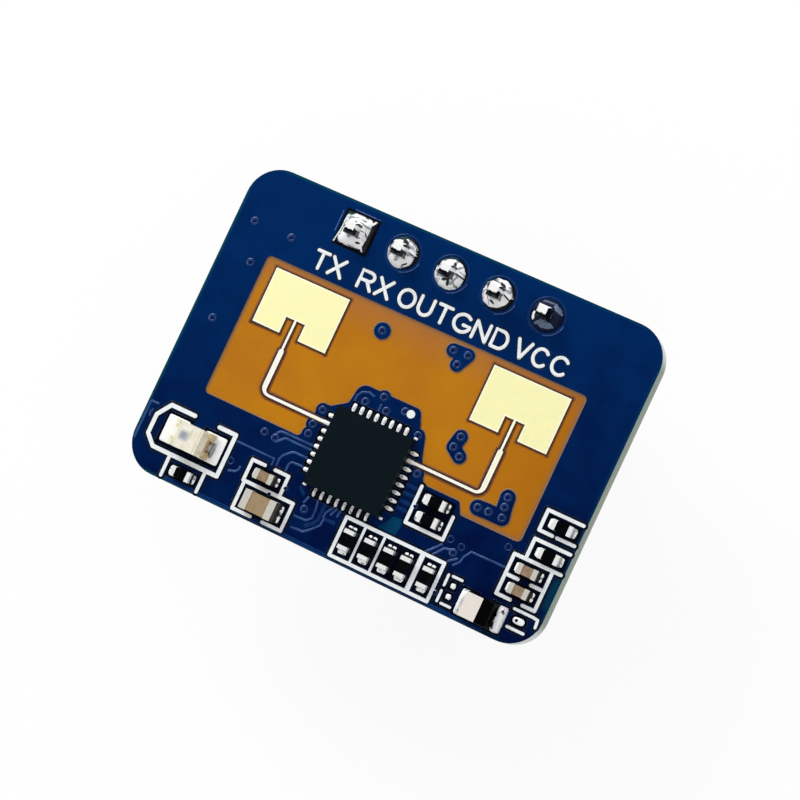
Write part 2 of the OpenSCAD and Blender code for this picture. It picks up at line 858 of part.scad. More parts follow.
// Round the LED, with the corners cut at its marked end, and on either side of its resistor
module led_lines() {
    x = led_land_end + led_line_gap;
    y = led_land_w / 2 + led_line_gap;
    translate(led_at) drawn([
        [-0.41, y], [0.25 - x, y], [-x - led_mark, 0.38], [-x - led_mark, -0.6],
        [0.25 - x, -y], [x - 0.1, -y], [x - 0.1, y], [0.95, y],
    ], bold_w);
    at = spot("led_resistor");
    for (side = [-small[0], small[0]])
        drawn([[at[0] + side, led_at[1] - y], [at[0] + side, foot_line - 0.06]]);
}

// Round the two capacitors left of the chip, which share the line between them
module capacitor_lines() {
    a = spot("bypass_capacitor");
    b = spot("supply_capacitor");
    top = a[1] + small[1];
    middle = b[1] + large[1];
    drawn([
        [a[0] - 0.3, top], [a[0] - small[0], top], [a[0] - small[0], middle],
        [b[0] + large[0], middle], [b[0] + large[0], foot_line], [b[0] + 0.32, foot_line],
    ]);
    drawn([[a[0] + 0.25, top], [a[0] + small[0], top], [a[0] + small[0], middle]]);
    drawn([[b[0] - large[0], middle], [b[0] - large[0], foot_line], [b[0] - 0.33, foot_line]]);
}

// Round the row of resistors, with lines between some of them
module row_lines() {
    at = [for (i = [1:5]) spot(str("row_resistor_", i))];
    left = at[0][0] - small[1];
    right = at[4][0] + small[1];
    top = at[0][1] + small[0];
    h = top - foot_line;
    translate([(left + right) / 2, (top + foot_line) / 2]) difference() {
        rounded_plate(right - left + line_w, h + line_w, line_w / 2);
        square([right - left - line_w, h - line_w], center = true);
    }
    for (bar = [[0, 0.16], [1, 0.16], [3, 0.28]])
        translate([(at[bar[0]][0] + at[bar[0] + 1][0] - bar[1]) / 2, foot_line]) square([bar[1], h]);
}

// Brackets at the two spare lands, and a bent line round the pair of resistors right of the chip
module spare_lines() {
    translate(spare_at) for (s = [-1, 1]) {
        drawn([[-0.42, 0.14 * s], [-0.42, 0.66 * s]], 0.17);
        drawn([[-0.2, 0.68 * s], [0.28, 0.68 * s]], 0.17);
    }
}

module pair_lines() {
    a = spot("pair_resistor_1");
    b = spot("pair_resistor_2");
    drawn([
        a + [-small[0], 0.45], b - small, b + [small[0], -small[1]], a + [small[0], -0.24],
    ]);
}

// Round the column of four parts and the test pad at the right edge
module side_lines() {
    a = spot("side_resistor_1");
    b = spot("side_resistor_2");
    c = spot("side_capacitor_1");
    d = spot("side_capacitor_2");
    joint = (b[1] + c[1]) / 2;
    foot = d[1] - small[1];
    drawn([
        [end_line, a[1] + small[1]], a + [-small[0], small[1]], a - small, a - [0.3, small[1]],
    ]);
    drawn([a - [0.07, small[1]], [end_line, a[1] - small[1]]]);
    drawn([[end_line, b[1] + small[1]], b + [-small[0], small[1]], [b[0] - small[0], joint + 0.1]]);
    drawn([[end_line, joint], [c[0] - small[0], joint], d - small, d - [0.26, small[1]]]);
    drawn([[c[0] + small[0], joint], d + [small[0], -small[1]], d + [0.36, -small[1]]]);
    for (s = [-1, 1]) drawn([(c + d) / 2 + [s * small[0], 0], (c + d) / 2 + [s * 0.33, 0]]);
    translate(test_pad_at) {
        drawn([[-0.42, 0.45], [0.52, 0.45], [0.79, 0.42], [0.82, 0.06]], 0.18);
        drawn([[-0.4, -0.43], [0.44, -0.43]], 0.18);
    }
}

module legend_shapes() {
    led_lines();
    capacitor_lines();
    row_lines();
    spare_lines();
    pair_lines();
    side_lines();

    // The dot at the chip's first lead
    at_chip() translate([1.24, 3.02]) circle(dot_r);
}

module silkscreen() {
    color("white") on_board(mask_z) linear_extrude(ink_t) legend_shapes();
}

laminate();
ground_plane();
vias();
plated_holes();
solder_mask_front();
solder_mask_rear();
silkscreen();
antenna_left();
antenna_right();
chip_lands();
component_lands();
chip_solder();
reflow_solder();
radar_chip_body();
radar_chip_leads();
indicator_led_base();
indicator_led_ends();
indicator_led_die();
indicator_led_lens();
diode_body();
diode_band();
diode_leads();
pin_solder();
header_housing();
for (i = [1:pin_count])
    header_pin(i - 1);
for (part = chip_parts) {
    chip_body(part);
    chip_ends(part);
}
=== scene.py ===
import math

import bmesh
import bpy
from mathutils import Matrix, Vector, noise


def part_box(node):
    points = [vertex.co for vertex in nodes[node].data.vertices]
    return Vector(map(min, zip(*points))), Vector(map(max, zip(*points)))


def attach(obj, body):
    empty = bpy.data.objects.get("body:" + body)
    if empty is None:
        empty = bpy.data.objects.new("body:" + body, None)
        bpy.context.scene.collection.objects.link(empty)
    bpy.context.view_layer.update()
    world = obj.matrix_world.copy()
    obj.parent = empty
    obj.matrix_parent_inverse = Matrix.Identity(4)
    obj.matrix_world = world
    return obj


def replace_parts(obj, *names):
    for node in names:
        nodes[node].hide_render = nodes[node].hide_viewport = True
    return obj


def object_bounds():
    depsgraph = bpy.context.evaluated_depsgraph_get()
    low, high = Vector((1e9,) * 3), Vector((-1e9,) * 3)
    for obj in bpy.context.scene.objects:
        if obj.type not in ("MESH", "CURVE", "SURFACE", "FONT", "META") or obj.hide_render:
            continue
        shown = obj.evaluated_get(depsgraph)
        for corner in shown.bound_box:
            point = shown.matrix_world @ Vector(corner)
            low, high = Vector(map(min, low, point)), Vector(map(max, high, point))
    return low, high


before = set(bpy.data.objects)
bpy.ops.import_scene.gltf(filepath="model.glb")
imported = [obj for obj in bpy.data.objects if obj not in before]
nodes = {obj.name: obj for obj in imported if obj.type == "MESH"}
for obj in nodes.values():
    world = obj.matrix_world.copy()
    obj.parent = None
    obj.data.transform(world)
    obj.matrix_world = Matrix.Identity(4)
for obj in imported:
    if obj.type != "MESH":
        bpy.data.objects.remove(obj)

# Microwave radar sensor module: what the bare solids leave out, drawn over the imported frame.
# Places are typed in millimetres from the middle of the board's front face.
mm = 0.001
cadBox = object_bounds()
boardLow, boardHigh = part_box("laminate")
middle = (boardLow + boardHigh) / 2
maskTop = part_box("solder_mask_front")[1].z
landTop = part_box("component_lands")[1].z


def at(x, y, z=0.0):
    # A place on the mask's surface, or z millimetres above it
    return Vector((middle.x + x * mm, middle.y + y * mm, maskTop + z * mm))


def inBoard(x, y, z):
    # The board millimetres of a place in the scene
    return (x - middle.x) / mm, (y - middle.y) / mm, (z - maskTop) / mm


def fromHex(text):
    channels = [int(text[i:i + 2], 16) / 255 for i in (1, 3, 5)]
    return tuple(c / 12.92 if c <= 0.04045 else ((c + 0.055) / 1.055) ** 2.4 for c in channels) + (1.0,)


def addNode(tree, kind, settings=None):
    # Settings name an attribute or an input, and an input also takes another node's output
    node = tree.nodes.new(kind)
    for key, value in (settings or {}).items():
        if isinstance(value, bpy.types.NodeSocket):
            tree.links.new(value, node.inputs[key])
        elif isinstance(key, str) and hasattr(node, key):
            setattr(node, key, value)
        else:
            node.inputs[key].default_value = value
    return node


def output(tree, kind, settings=None):
    return addNode(tree, kind, settings).outputs[0]


def maths(operation):
    # A maths node as a function of sockets and numbers
    def run(*values):
        tree = next(value.id_data for value in values if isinstance(value, bpy.types.NodeSocket))
        return output(tree, "ShaderNodeMath", {"operation": operation, **dict(enumerate(values))})
    return run


times, plus, minus, above, below, absolute, least, most, sine = map(maths, (
    "MULTIPLY", "ADD", "SUBTRACT", "GREATER_THAN", "LESS_THAN", "ABSOLUTE", "MINIMUM", "MAXIMUM", "SINE"))


def newMaterial(name, settings):
    # A material, its one principled shader and the place its patterns are drawn by
    made = bpy.data.materials.new(name)
    made.use_nodes = True
    shader = made.node_tree.nodes["Principled BSDF"]
    for key, value in settings.items():
        shader.inputs[key].default_value = value
    return made, shader, addNode(made.node_tree, "ShaderNodeTexCoord").outputs["Object"]


def feed(shader, key, source):
    shader.id_data.links.new(source, shader.inputs[key])


def axes(vector):
    parts = addNode(vector.id_data, "ShaderNodeSeparateXYZ", {"Vector": vector}).outputs
    return parts["X"], parts["Y"], parts["Z"]


def normalAxes(shader):
    return axes(addNode(shader.id_data, "ShaderNodeNewGeometry").outputs["Normal"])


def noiseField(place, grainMm, detail=2.0):
    # Cloudy values from 0 to 1, with grains of about grainMm across
    return output(place.id_data, "ShaderNodeTexNoise", {
        "Scale": 1 / (grainMm * mm), "Detail": detail, "Vector": place})


def remap(value, low, high, toLow=0.0, toHigh=1.0):
    return output(value.id_data, "ShaderNodeMapRange", {
        "From Min": low, "From Max": high, "To Min": toLow, "To Max": toHigh, "Value": value})


def blend(share, low, high):
    # Low and high are hex colours or sockets
    low, high = (fromHex(colour) if isinstance(colour, str) else colour for colour in (low, high))
    settings = {"data_type": "RGBA", "Factor": share, 6: low, 7: high}
    return addNode(share.id_data, "ShaderNodeMix", settings).outputs[2]


def relief(shader, height, depthMm, strength):
    feed(shader, "Normal", output(shader.id_data, "ShaderNodeBump", {
        "Strength": strength, "Distance": depthMm * mm, "Height": height}))


def insideBox(x, y, box):
    # 1 inside a rectangle given in board millimetres, 0 outside
    x0, y0, x1, y1 = box
    tests = [above(x, middle.x + x0 * mm), below(x, middle.x + x1 * mm),
             above(y, middle.y + y0 * mm), below(y, middle.y + y1 * mm)]
    return times(times(times(tests[0], tests[1]), tests[2]), tests[3])


def softSpot(x, y, spot):
    # 1 inside a soft-edged rectangle given by its middle, half sizes and edge in board millimetres
    cx, cy, hx, hy, soft = spot
    reach = []
    for value, centre, half in ((x, middle.x + cx * mm, hx), (y, middle.y + cy * mm, hy)):
        apart = absolute(minus(value, centre))
        reach.append(remap(apart, (half - soft / 2) * mm, (half + soft / 2) * mm, 1.0, 0.0))
    return times(*reach)


# Solder mask: photo-imaged epoxy over copper foil, glossy and deep blue, with a painted greenish sheen along
# the board's edge
maskLook = dict(
    deep="#00113e", usual="#00285e", rim="#0c4c54", rimMm=(0.02, 0.18), rimShare=0.8, rimRight=0.35,
    roughness=0.12, grainMm=1.6, driftUp=1.2, driftRight=0.3, driftMm=(-11, 8), wavesMm=0.35,
    pour=(10.8, -5.0, 0.12, 0.75, 0.35), sheenShare=0.5,
)


def solderMask():
    look = maskLook
    made, shader, place = newMaterial("solder mask, glossy blue epoxy", {
        "Roughness": look["roughness"], "IOR": 1.5,
    })
    x, y, _ = axes(place)
    fromX, fromY = minus(x, middle.x), minus(y, middle.y)
    # Painted sheen: lighter towards the first pin's corner
    drift = minus(times(fromY, look["driftUp"]), times(fromX, look["driftRight"]))
    cloud = remap(noiseField(place, look["grainMm"], 3), 0.3, 0.7, -0.25, 0.25)
    share = plus(remap(drift, *(value * mm for value in look["driftMm"])), cloud)
    body = blend(share, look["deep"], look["usual"])
    # How far a place lies inside the board's edge, taken along the nearer axis
    insideX = minus(boardHigh.x - middle.x, absolute(fromX))
    insideY = minus(boardHigh.y - middle.y, absolute(fromY))
    # A painted greenish sheen along the board's edge, stronger at the left
    rim = remap(least(insideX, insideY), *(value * mm for value in look["rimMm"]), look["rimShare"], 0.0)
    rim = times(rim, remap(x, boardLow.x, boardHigh.x, 1.0, look["rimRight"]))
    body = blend(rim, body, look["rim"])
    # A painted sheen in the rim's green on a spot at the right edge, below the middle
    pour = times(softSpot(x, y, look["pour"]), look["sheenShare"])
    feed(shader, "Base Color", blend(pour, body, look["rim"]))
    relief(shader, noiseField(place, look["wavesMm"]), 0.004, 0.5)
    return made


def tintedMask(name, low, high, roughness=0.15, grainMm=0.6):
    # The same mask in another depth of colour, where what lies under it changes it, and also as painted shade
    # and painted glints
    made, shader, place = newMaterial(name, {"Roughness": roughness, "IOR": 1.5})
    feed(shader, "Base Color", blend(remap(noiseField(place, grainMm, 3), 0.3, 0.7), low, high))
    relief(shader, noiseField(place, 0.2), 0.004, 0.4)
    return made


# Glass-epoxy laminate: amber where the mask leaves it bare, sawn grey-green plies at the edge
laminateLook = dict(
    amber="#be7b10", red="#b47014", dull="#a4683c", deep="#a05c0a", feather="#7c6650", gap="#0a0d10",
    rearPlies=("#5d6951", "#879377"), frontPlies=("#506a5c", "#74887a"), corner="#dfe6e4",
    cloudMm=2.4, pitchMm=0.42, weaveShare=0.08, plyMm=0.135, plyShare=0.25,
    fibreMm=0.12, fibreStretch=(0.25, 0.25, 2.0), cornerGlowShare=0.7, dullMm=(2.2, 3.9), dullShare=0.7,
    deepMm=(3, 8), deepShare=0.5, featherMm=(0.1, 0.36), featherShare=0.75,
    window=(-8.75, -3.6, 8.57, 4.05),
    chip=((-1.85, -5.75, 1.7, -0.72), (-2.58, -5.0, 2.42, -2.42), (-2.58, -2.02, 2.42, -1.62)),
)


def glassEpoxy():
    look = laminateLook
    made, shader, place = newMaterial("glass-epoxy laminate, bare and routed", {
        "Roughness": 0.36, "IOR": 1.52, "Specular IOR Level": 0.15,
    })
    x, y, z = axes(place)
    warp, weft = (sine(times(value, 2 * math.pi / (look["pitchMm"] * mm))) for value in (x, y))
    weave = times(warp, weft)
    share = plus(remap(noiseField(place, look["cloudMm"], 4), 0.3, 0.7), times(weave, look["weaveShare"]))
    amber = blend(share, look["amber"], look["red"])
    # Duller towards the pins, deeper towards the right
    for value, origin, limits, reach, colour in (
            (y, middle.y, look["dullMm"], look["dullShare"], look["dull"]),
            (x, middle.x, look["deepMm"], look["deepShare"], look["deep"])):
        amber = blend(remap(value, *(origin + limit * mm for limit in limits), 0.0, reach), amber, colour)
    # Thin mask feathered out along the window's straight edges
    x0, y0, x1, y1 = (value * mm for value in look["window"])
    inX = least(minus(x, middle.x + x0), minus(middle.x + x1, x))
    inY = least(minus(y, middle.y + y0), minus(middle.y + y1, y))
    feather = remap(least(inX, inY), *(value * mm for value in look["featherMm"]), look["featherShare"], 0.0)
    amber = blend(feather, amber, look["feather"])
    # Amber in the antennas' window only: in the slits round lands the copper's shade darkens it
    amberHere = insideBox(x, y, look["window"])
    for box in look["chip"]:
        amberHere = times(amberHere, minus(1.0, insideBox(x, y, box)))
    face = blend(amberHere, look["gap"], amber)
    stretched = output(shader.id_data, "ShaderNodeMapping", {"Scale": look["fibreStretch"], "Vector": place})
    fibres = noiseField(stretched, look["fibreMm"], 4)
    plies = sine(times(z, 2 * math.pi / (look["plyMm"] * mm)))
    edgeShare = plus(remap(fibres, 0.25, 0.75), times(plies, look["plyShare"]))
    rear, front = (blend(edgeShare, *look[key]) for key in ("rearPlies", "frontPlies"))
    edge = blend(remap(z, boardLow.z, boardHigh.z), rear, front)
    normalX, normalY, normalZ = normalAxes(shader)
    # Painted highlight: pale on the round corners
    onCorner = absolute(times(normalX, normalY))
    edge = blend(remap(onCorner, 0.1, 0.45, 0.0, look["cornerGlowShare"]), edge, look["corner"])
    feed(shader, "Base Color", blend(above(absolute(normalZ), 0.5), edge, face))
    relief(shader, plus(fibres, times(weave, 0.1)), 0.01, 0.35)
    return made


def plated(name, colour, second, roughness, grainMm, depthMm, metallic=1.0, southOf=None, shadeTurnedRight=None):
    # A plated or tinned metal surface with a slight grain; solder painted with shade and reflections is made
    # with it too. It may take other colours south of a line across the board, one left of its middle and one
    # right, and a painted shade colour on faces that point right
    made, shader, place = newMaterial(name, {"Metallic": metallic})
    grain = noiseField(place, grainMm, 3)
    finish = blend(remap(grain, 0.3, 0.7), colour, second)
    if southOf:
        line, left, right = southOf
        x, y, _ = axes(place)
        south = remap(y, middle.y + (line + 0.1) * mm, middle.y + (line - 0.1) * mm)
        finish = blend(south, finish, blend(above(x, middle.x), left, right))
    if shadeTurnedRight:
        finish = blend(remap(normalAxes(shader)[0], 0.55, 0.85), finish, shadeTurnedRight)
    feed(shader, "Base Color", finish)
    feed(shader, "Roughness", remap(grain, 0.2, 0.8, roughness * 0.85, roughness * 1.15))
    relief(shader, grain, depthMm, 0.6)
    return made


def plain(name, colour, second, roughness, grainMm, depthMm=0.004, specular=0.5):
    # Resin, ceramic, plastic, ink or bare laminate with a fine mottle; painted shade, highlights and
    # reflections are made with it too
    made, shader, place = newMaterial(name, {"Roughness": roughness, "Specular IOR Level": specular})
    feed(shader, "Base Color", blend(remap(noiseField(place, grainMm, 3), 0.3, 0.7), colour, second))
    relief(shader, noiseField(place, grainMm / 3), depthMm, 0.5)
    return made


# Header pins: gold-flashed brass below the board. Above it light and shade are painted: a bright cut tip and
# faces towards the light, sides painted dark as a reflection of the dark, and a painted highlight band on the
# faces turned right. The last joint is dull, and its pin is dark beside the tip, without that band
pinLook = dict(
    brass="#e8c878", dark="#23272e", bright="#fbfbfa", metal="#ffffff", tipMetal="#383838", grainMm=0.12,
    wettedMm=0.1, raggedMm=0.2, bandsMm=((-0.13, -0.09), (-0.02, 0.03), (0.2, 0.15)), lastMm=4,
)


def pinMetal():
    look = pinLook
    made, shader, place = newMaterial("header pin, gold flash and solder", {})
    x, y, z = axes(place)
    grain = noiseField(place, look["grainMm"], 3)
    wetted = remap(z, maskTop, maskTop + look["wettedMm"] * mm)
    ragged = plus(y, times(minus(grain, 0.5), look["raggedMm"] * mm))
    onTip, sideLow, sideHigh = (remap(ragged, low * mm, high * mm) for low, high in look["bandsMm"])
    normalX, normalY, normalZ = normalAxes(shader)
    tip = times(most(above(normalZ, 0.7), above(minus(normalY, normalX), 0.3)), onTip)
    side = times(above(normalX, 0.5), below(x, middle.x + look["lastMm"] * mm))
    lit = most(tip, times(side, times(sideLow, sideHigh)))
    metallic = blend(wetted, look["metal"], blend(lit, look["metal"], look["tipMetal"]))
    feed(shader, "Base Color", blend(wetted, look["brass"], blend(lit, look["dark"], look["bright"])))
    feed(shader, "Metallic", metallic)
    feed(shader, "Roughness", remap(wetted, 0, 1, 0.3, 0.2))
    relief(shader, grain, 0.006, 0.5)
    return made


# The indicator LED: cream cast resin, a bluish die under it, greenish corners, and a browner far end: its
# gold end with painted shade
ledLook = dict(
    cream="#f4edd6", pale="#fffaea", alpha=0.9, spotShare=0.85,
    spots=[
        ("#b6bcc2", (-8.29, -5.64, 0.25, 0.23, 0.2)), ("#98a1b2", (-8.33, -5.62, 0.14, 0.14, 0.16)),
        ("#ddd6ae", (-8.72, -5.45, 0.06, 0.08, 0.1)), ("#ddd6ae", (-8.7, -5.95, 0.06, 0.08, 0.1)),
        ("#8fb48c", (-8.82, -5.12, 0.11, 0.1, 0.1)), ("#8fb48c", (-8.82, -6.16, 0.11, 0.1, 0.1)),
        ("#d6cf98", (-8.98, -5.32, 0.06, 0.08, 0.1)), ("#d6cf98", (-8.98, -5.97, 0.06, 0.08, 0.1)),
        ("#e6dcb4", (-8.0, -5.42, 0.05, 0.2, 0.08)), ("#d8cfae", (-7.57, -5.65, 0.02, 0.7, 0.05)),
        ("#ab8e60", (-7.14, -5.65, 0.17, 0.7, 0.1)), ("#d9cba4", (-7.3, -5.2, 0.12, 0.1, 0.1)),
        ("#d9cba4", (-7.28, -6.08, 0.12, 0.1, 0.1)), ("#4a2c1c", (-7.1, -5.44, 0.08, 0.07, 0.08)),
        ("#4a2c1c", (-7.1, -5.87, 0.08, 0.07, 0.08)),
    ],
)


def ledResin(name, alpha=1.0):
    made, shader, place = newMaterial(name, {"Roughness": 0.3, "IOR": 1.5, "Alpha": alpha})
    x, y, _ = axes(place)
    cloud = noiseField(place, 0.3, 3)
    colour = blend(remap(cloud, 0.35, 0.65), ledLook["cream"], ledLook["pale"])
    for shade, spot in ledLook["spots"]:
        colour = blend(times(softSpot(x, y, spot), ledLook["spotShare"]), colour, shade)
    feed(shader, "Base Color", colour)
    relief(shader, cloud, 0.01, 0.5)
    return made


looks = dict(
    laminate=glassEpoxy(),
    mask=solderMask(),
    darkMask=tintedMask("solder mask over bare laminate, and painted shade", "#01060f", "#020b1e", 0.12),
    shadeMask=tintedMask("solder mask at an edge, in shade", "#010a1c", "#010d26"),
    lineMask=tintedMask("solder mask over a track", "#1a3c74", "#35588f"),
    faintMask=tintedMask("solder mask over a deep track", "#03265c", "#0b3468"),
    tealMask=tintedMask("solder mask over a copper pour", "#02305a", "#063f62", 0.12),
    dimpleMask=tintedMask("solder mask sunk in a via", "#031340", "#051b50"),
    glintMask=tintedMask("painted glint on solder mask", "#27467e", "#5068a4", 0.12, 0.25),
    etchShade=plain("etched edge of copper, red-brown, with painted shade", "#2a0c02", "#451805", 0.5, 0.15),
    shadedAmber=plain("bare laminate in the shade of copper", "#85480c", "#98560f", 0.5, 0.15),
    patchGlint=plain("painted highlight on a plated patch's rim", "#fffef2", "#fffcf0", 0.6, 0.15),
    bleed=plain("mask feathered out on laminate", "#8a6848", "#a07a58", 0.4, 0.15),
    ink=plain("white legend ink", "#e4eaee", "#f3f6f8", 0.55, 0.2, 0.006, 0.2),
    copper=plated("copper foil", "#d9905c", "#c97c48", 0.35, 0.4, 0.003),
    gold=plated("immersion gold over nickel", "#f7d890", "#efcb7c", 0.45, 0.3, 0.003),
    antenna=plated("etched antenna copper, matte gold finish", "#fffdc6", "#fffabc", 0.62, 0.25, 0.003, 0.5,
                   southOf=(0.55, "#fffaf0", "#fffbdc")),
    solder=plated("reflowed solder", "#fbfbfa", "#e6e8e8", 0.3, 0.22, 0.012),
    frosted=plated("flat solder, frosted white", "#ffffff", "#f8f9f9", 0.6, 0.25, 0.004, 0.2),
    # The lead ends take a painted shade on faces turned right
    leads=plated("lead ends, tinned", "#ffffff", "#f8f9f9", 0.6, 0.25, 0.004, 0.2, shadeTurnedRight="#07090d"),
    handSolder=plated("hand-drawn solder, bright", "#fafafa", "#d6d8da", 0.28, 0.2, 0.012, 0.45),
    # Tin plating takes a painted shade on faces turned right
    tin=plated("tin plating", "#e8e5da", "#d0cec4", 0.5, 0.12, 0.006, 0.5, shadeTurnedRight="#4a4a38"),
    brightTin=plated("tin plating, bright", "#ffffff", "#eff2f0", 0.5, 0.12, 0.006, 0.4),
    wetTin=plated("tinned rim of a hole", "#1c242c", "#343c44", 0.3, 0.2, 0.004, 0.8),
    chip=plain("moulded chip resin", "#000c13", "#001118", 0.5, 0.16, specular=0.1),
    darkSolder=plated("solder, steep and mirroring the dark", "#07090d", "#1a1f26", 0.25, 0.1, 0.01, 0.5),
    greySolder=plated("solder, half turned away", "#aeb2b5", "#80868b", 0.3, 0.12, 0.01, 0.5),
    navySolder=plain("solder, mirroring the board", "#040a2a", "#081436", 0.5, 0.2, 0.01, 0.15),
    slateSolder=plated("solder, mirroring the board, half lit", "#6c7f9a", "#4c5c76", 0.3, 0.1, 0.01, 0.3),
    tealSolder=plain("solder, mirroring green", "#04141c", "#1c4c50", 0.4, 0.2, 0.01, 0.2),
    ledEnd=ledResin("plated LED ends under resin"),
    die=plain("light-giving die", "#8d9aa8", "#b4bec8", 0.3, 0.12, 0.002),
    resin=ledResin("cast epoxy, cloudy cream", ledLook["alpha"]),
    plastic=plain("header plastic, black", "#141416", "#1c1c1f", 0.42, 0.25, 0.008),
    pin=pinMetal(),
    glaze=plain("resistor glaze, black", "#010203", "#05080a", 0.3, 0.2, specular=0.1),
    ceramic=plain("capacitor ceramic, small", "#a08970", "#8a7058", 0.45, 0.2, specular=0.3),
    largeCeramic=plain("capacitor ceramic, large", "#a38c6c", "#96805f", 0.45, 0.3, specular=0.3),
    diode=plain("diode resin, black", "#010102", "#030304", 0.5, 0.2, specular=0.03),
    band=plain("diode band, pale ink", "#e4dad2", "#ebe2da", 0.6, 0.25, 0.003, 0.2),
)

nodeLooks = dict(
    laminate="laminate", ground_plane="copper", vias="copper", plated_holes="wetTin",
    solder_mask_front="mask", solder_mask_rear="mask", silkscreen="ink",
    antenna_left="antenna", antenna_right="antenna", chip_lands="gold", component_lands="gold",
    chip_solder="solder", reflow_solder="solder", radar_chip_body="chip", radar_chip_leads="leads",
    indicator_led_base="ledEnd", indicator_led_ends="ledEnd", indicator_led_die="die",
    indicator_led_lens="resin", diode_body="diode", diode_band="band", diode_leads="frosted",
    pin_solder="handSolder", header_housing="plastic",
)
for name, node in nodes.items():
    if name in nodeLooks:
        look = nodeLooks[name]
    elif name.startswith("header_pin"):
        look = "pin"
    elif name.endswith("_ends"):
        look = "brightTin" if "resistor" in name else "tin"
    elif "resistor" in name:
        look = "glaze"
    else:
        look = "largeCeramic" if name.startswith("supply") else "ceramic"
    node.data.materials.clear()
    node.data.materials.append(looks[look])
print("materials set on", len(nodes), "nodes")

# Edges that moulding, dipping and tumbling leave round, in millimetres
roundings = dict(
    radar_chip_body=0.03, diode_body=0.04, diode_band=0.008, indicator_led_lens=0.05, indicator_led_base=0.02,
    header_housing=0.06, supply=0.09, capacitor=0.06, resistor=0.035,
)
for name, node in nodes.items():
    width = next((size for key, size in roundings.items() if name.startswith(key)), None)
    if width is None and name.endswith(("_ends", "_body")) and not name.startswith("indicator"):
        width = next((size for key, size in roundings.items() if key in name), None)
    if width:
        bevel = node.modifiers.new("rounded", "BEVEL")
        bevel.width = width * mm
        bevel.segments = 3
        bevel.limit_method = "ANGLE"
        bevel.angle_limit = math.radians(40)
print("edges rounded")


def meshFrom(name, shape):
    mesh = bpy.data.meshes.new(name)
    shape.to_mesh(mesh)
    shape.free()
    return mesh


def finishPiece(name, mesh):
    # Puts a finished mesh in the scene, faces out, riding on the board
    shape = bmesh.new()
    shape.from_mesh(mesh)
    bmesh.ops.recalc_face_normals(shape, faces=shape.faces)
    shape.to_mesh(mesh)
    shape.free()
    piece = bpy.data.objects.new(name, mesh)
    bpy.context.scene.collection.objects.link(piece)
    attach(piece, "root")
    return piece


def newTree(name, *sizes):
    tree = bpy.data.node_groups.new(name, "GeometryNodeTree")
    tree.interface.new_socket("Geometry", in_out="INPUT", socket_type="NodeSocketGeometry")
    for title in sizes:
        tree.interface.new_socket(title, in_out="INPUT", socket_type="NodeSocketFloat")
    tree.interface.new_socket("Material", in_out="INPUT", socket_type="NodeSocketMaterial")
    tree.interface.new_socket("Geometry", in_out="OUTPUT", socket_type="NodeSocketGeometry")
    return tree, addNode(tree, "NodeGroupInput").outputs


def closeTree(tree, geometry, given):
    real = output(tree, "GeometryNodeRealizeInstances", {"Geometry": geometry})
    smooth = output(tree, "GeometryNodeSetShadeSmooth", {"Geometry": real})
    coat = output(tree, "GeometryNodeSetMaterial", {"Geometry": smooth, "Material": given["Material"]})
    addNode(tree, "NodeGroupOutput", {"Geometry": coat})
    return tree


def drawOval(tree, path, given, sides):
    # A low oval section drawn along a path
    level = output(tree, "GeometryNodeSetCurveNormal", {"mode": "Z_UP", "Curve": path})
    ring = output(tree, "GeometryNodeCurvePrimitiveCircle", {"Resolution": sides, "Radius": 1.0})
    half = times(given["Width"], 0.5)
    section = output(tree, "ShaderNodeCombineXYZ", {"X": half, "Y": given["Height"], "Z": 1.0})
    oval = output(tree, "GeometryNodeTransform", {"Geometry": ring, "Scale": section})
    return output(tree, "GeometryNodeCurveToMesh", {"Fill Caps": True, "Curve": level, "Profile Curve": oval})


def putCaps(tree, given, radius, sides):
    # A low round cap at each point
    ball = output(tree, "GeometryNodeMeshUVSphere", {"Segments": sides, "Rings": sides // 2, "Radius": 1.0})
    size = output(tree, "ShaderNodeCombineXYZ", {"X": radius, "Y": radius, "Z": given["Height"]})
    return output(tree, "GeometryNodeInstanceOnPoints", {
        "Points": given["Geometry"], "Instance": ball, "Scale": size})


def strokeTree():
    # Draws each chain of edges as a raised line with round ends and round bends
    tree, given = newTree("raised line", "Width", "Height")
    line = output(tree, "GeometryNodeMeshToCurve", {"Mesh": given["Geometry"]})
    both = addNode(tree, "GeometryNodeJoinGeometry", {"Geometry": drawOval(tree, line, given, 12)})
    tree.links.new(putCaps(tree, given, times(given["Width"], 0.5), 12), both.inputs[0])
    return closeTree(tree, both.outputs[0], given)


def ringTree():
    # Puts a low ring at each point
    tree, given = newTree("rings on points", "Radius", "Width", "Height")
    circle = output(tree, "GeometryNodeCurvePrimitiveCircle", {"Resolution": 28, "Radius": given["Radius"]})
    torus = drawOval(tree, circle, given, 10)
    many = output(tree, "GeometryNodeInstanceOnPoints", {"Points": given["Geometry"], "Instance": torus})
    return closeTree(tree, many, given)


def dotTree():
    tree, given = newTree("caps on points", "Radius", "Height")
    return closeTree(tree, putCaps(tree, given, given["Radius"], 16), given)


trees = dict(stroke=strokeTree(), ring=ringTree(), dot=dotTree())


def grow(name, chains, look, slot="solder_mask", kind="stroke", **sizes):
    # Runs one of the trees on chains of points in board millimetres and keeps the result as a piece
    points, edges = [], []
    for chain in chains:
        first = len(points)
        points += [at(*p) for p in chain]
        edges += [(first + i, first + i + 1) for i in range(len(chain) - 1)]
    path = bpy.data.meshes.new(name)
    path.from_pydata(points, edges, [])
    source = bpy.data.objects.new(name + "_path", path)
    bpy.context.scene.collection.objects.link(source)
    modifier = source.modifiers.new("made", "NODES")
    modifier.node_group = trees[kind]
    values = {**{key.capitalize(): size * mm for key, size in sizes.items()}, "Material": looks[look]}
    for item in trees[kind].interface.items_tree:
        if item.in_out == "INPUT" and item.name in values:
            modifier[item.identifier] = values[item.name]
    graph = bpy.context.evaluated_depsgraph_get()
    mesh = bpy.data.meshes.new_from_object(source.evaluated_get(graph))
    mesh.name = name
    bpy.data.objects.remove(source)
    return finishPiece(name, mesh)


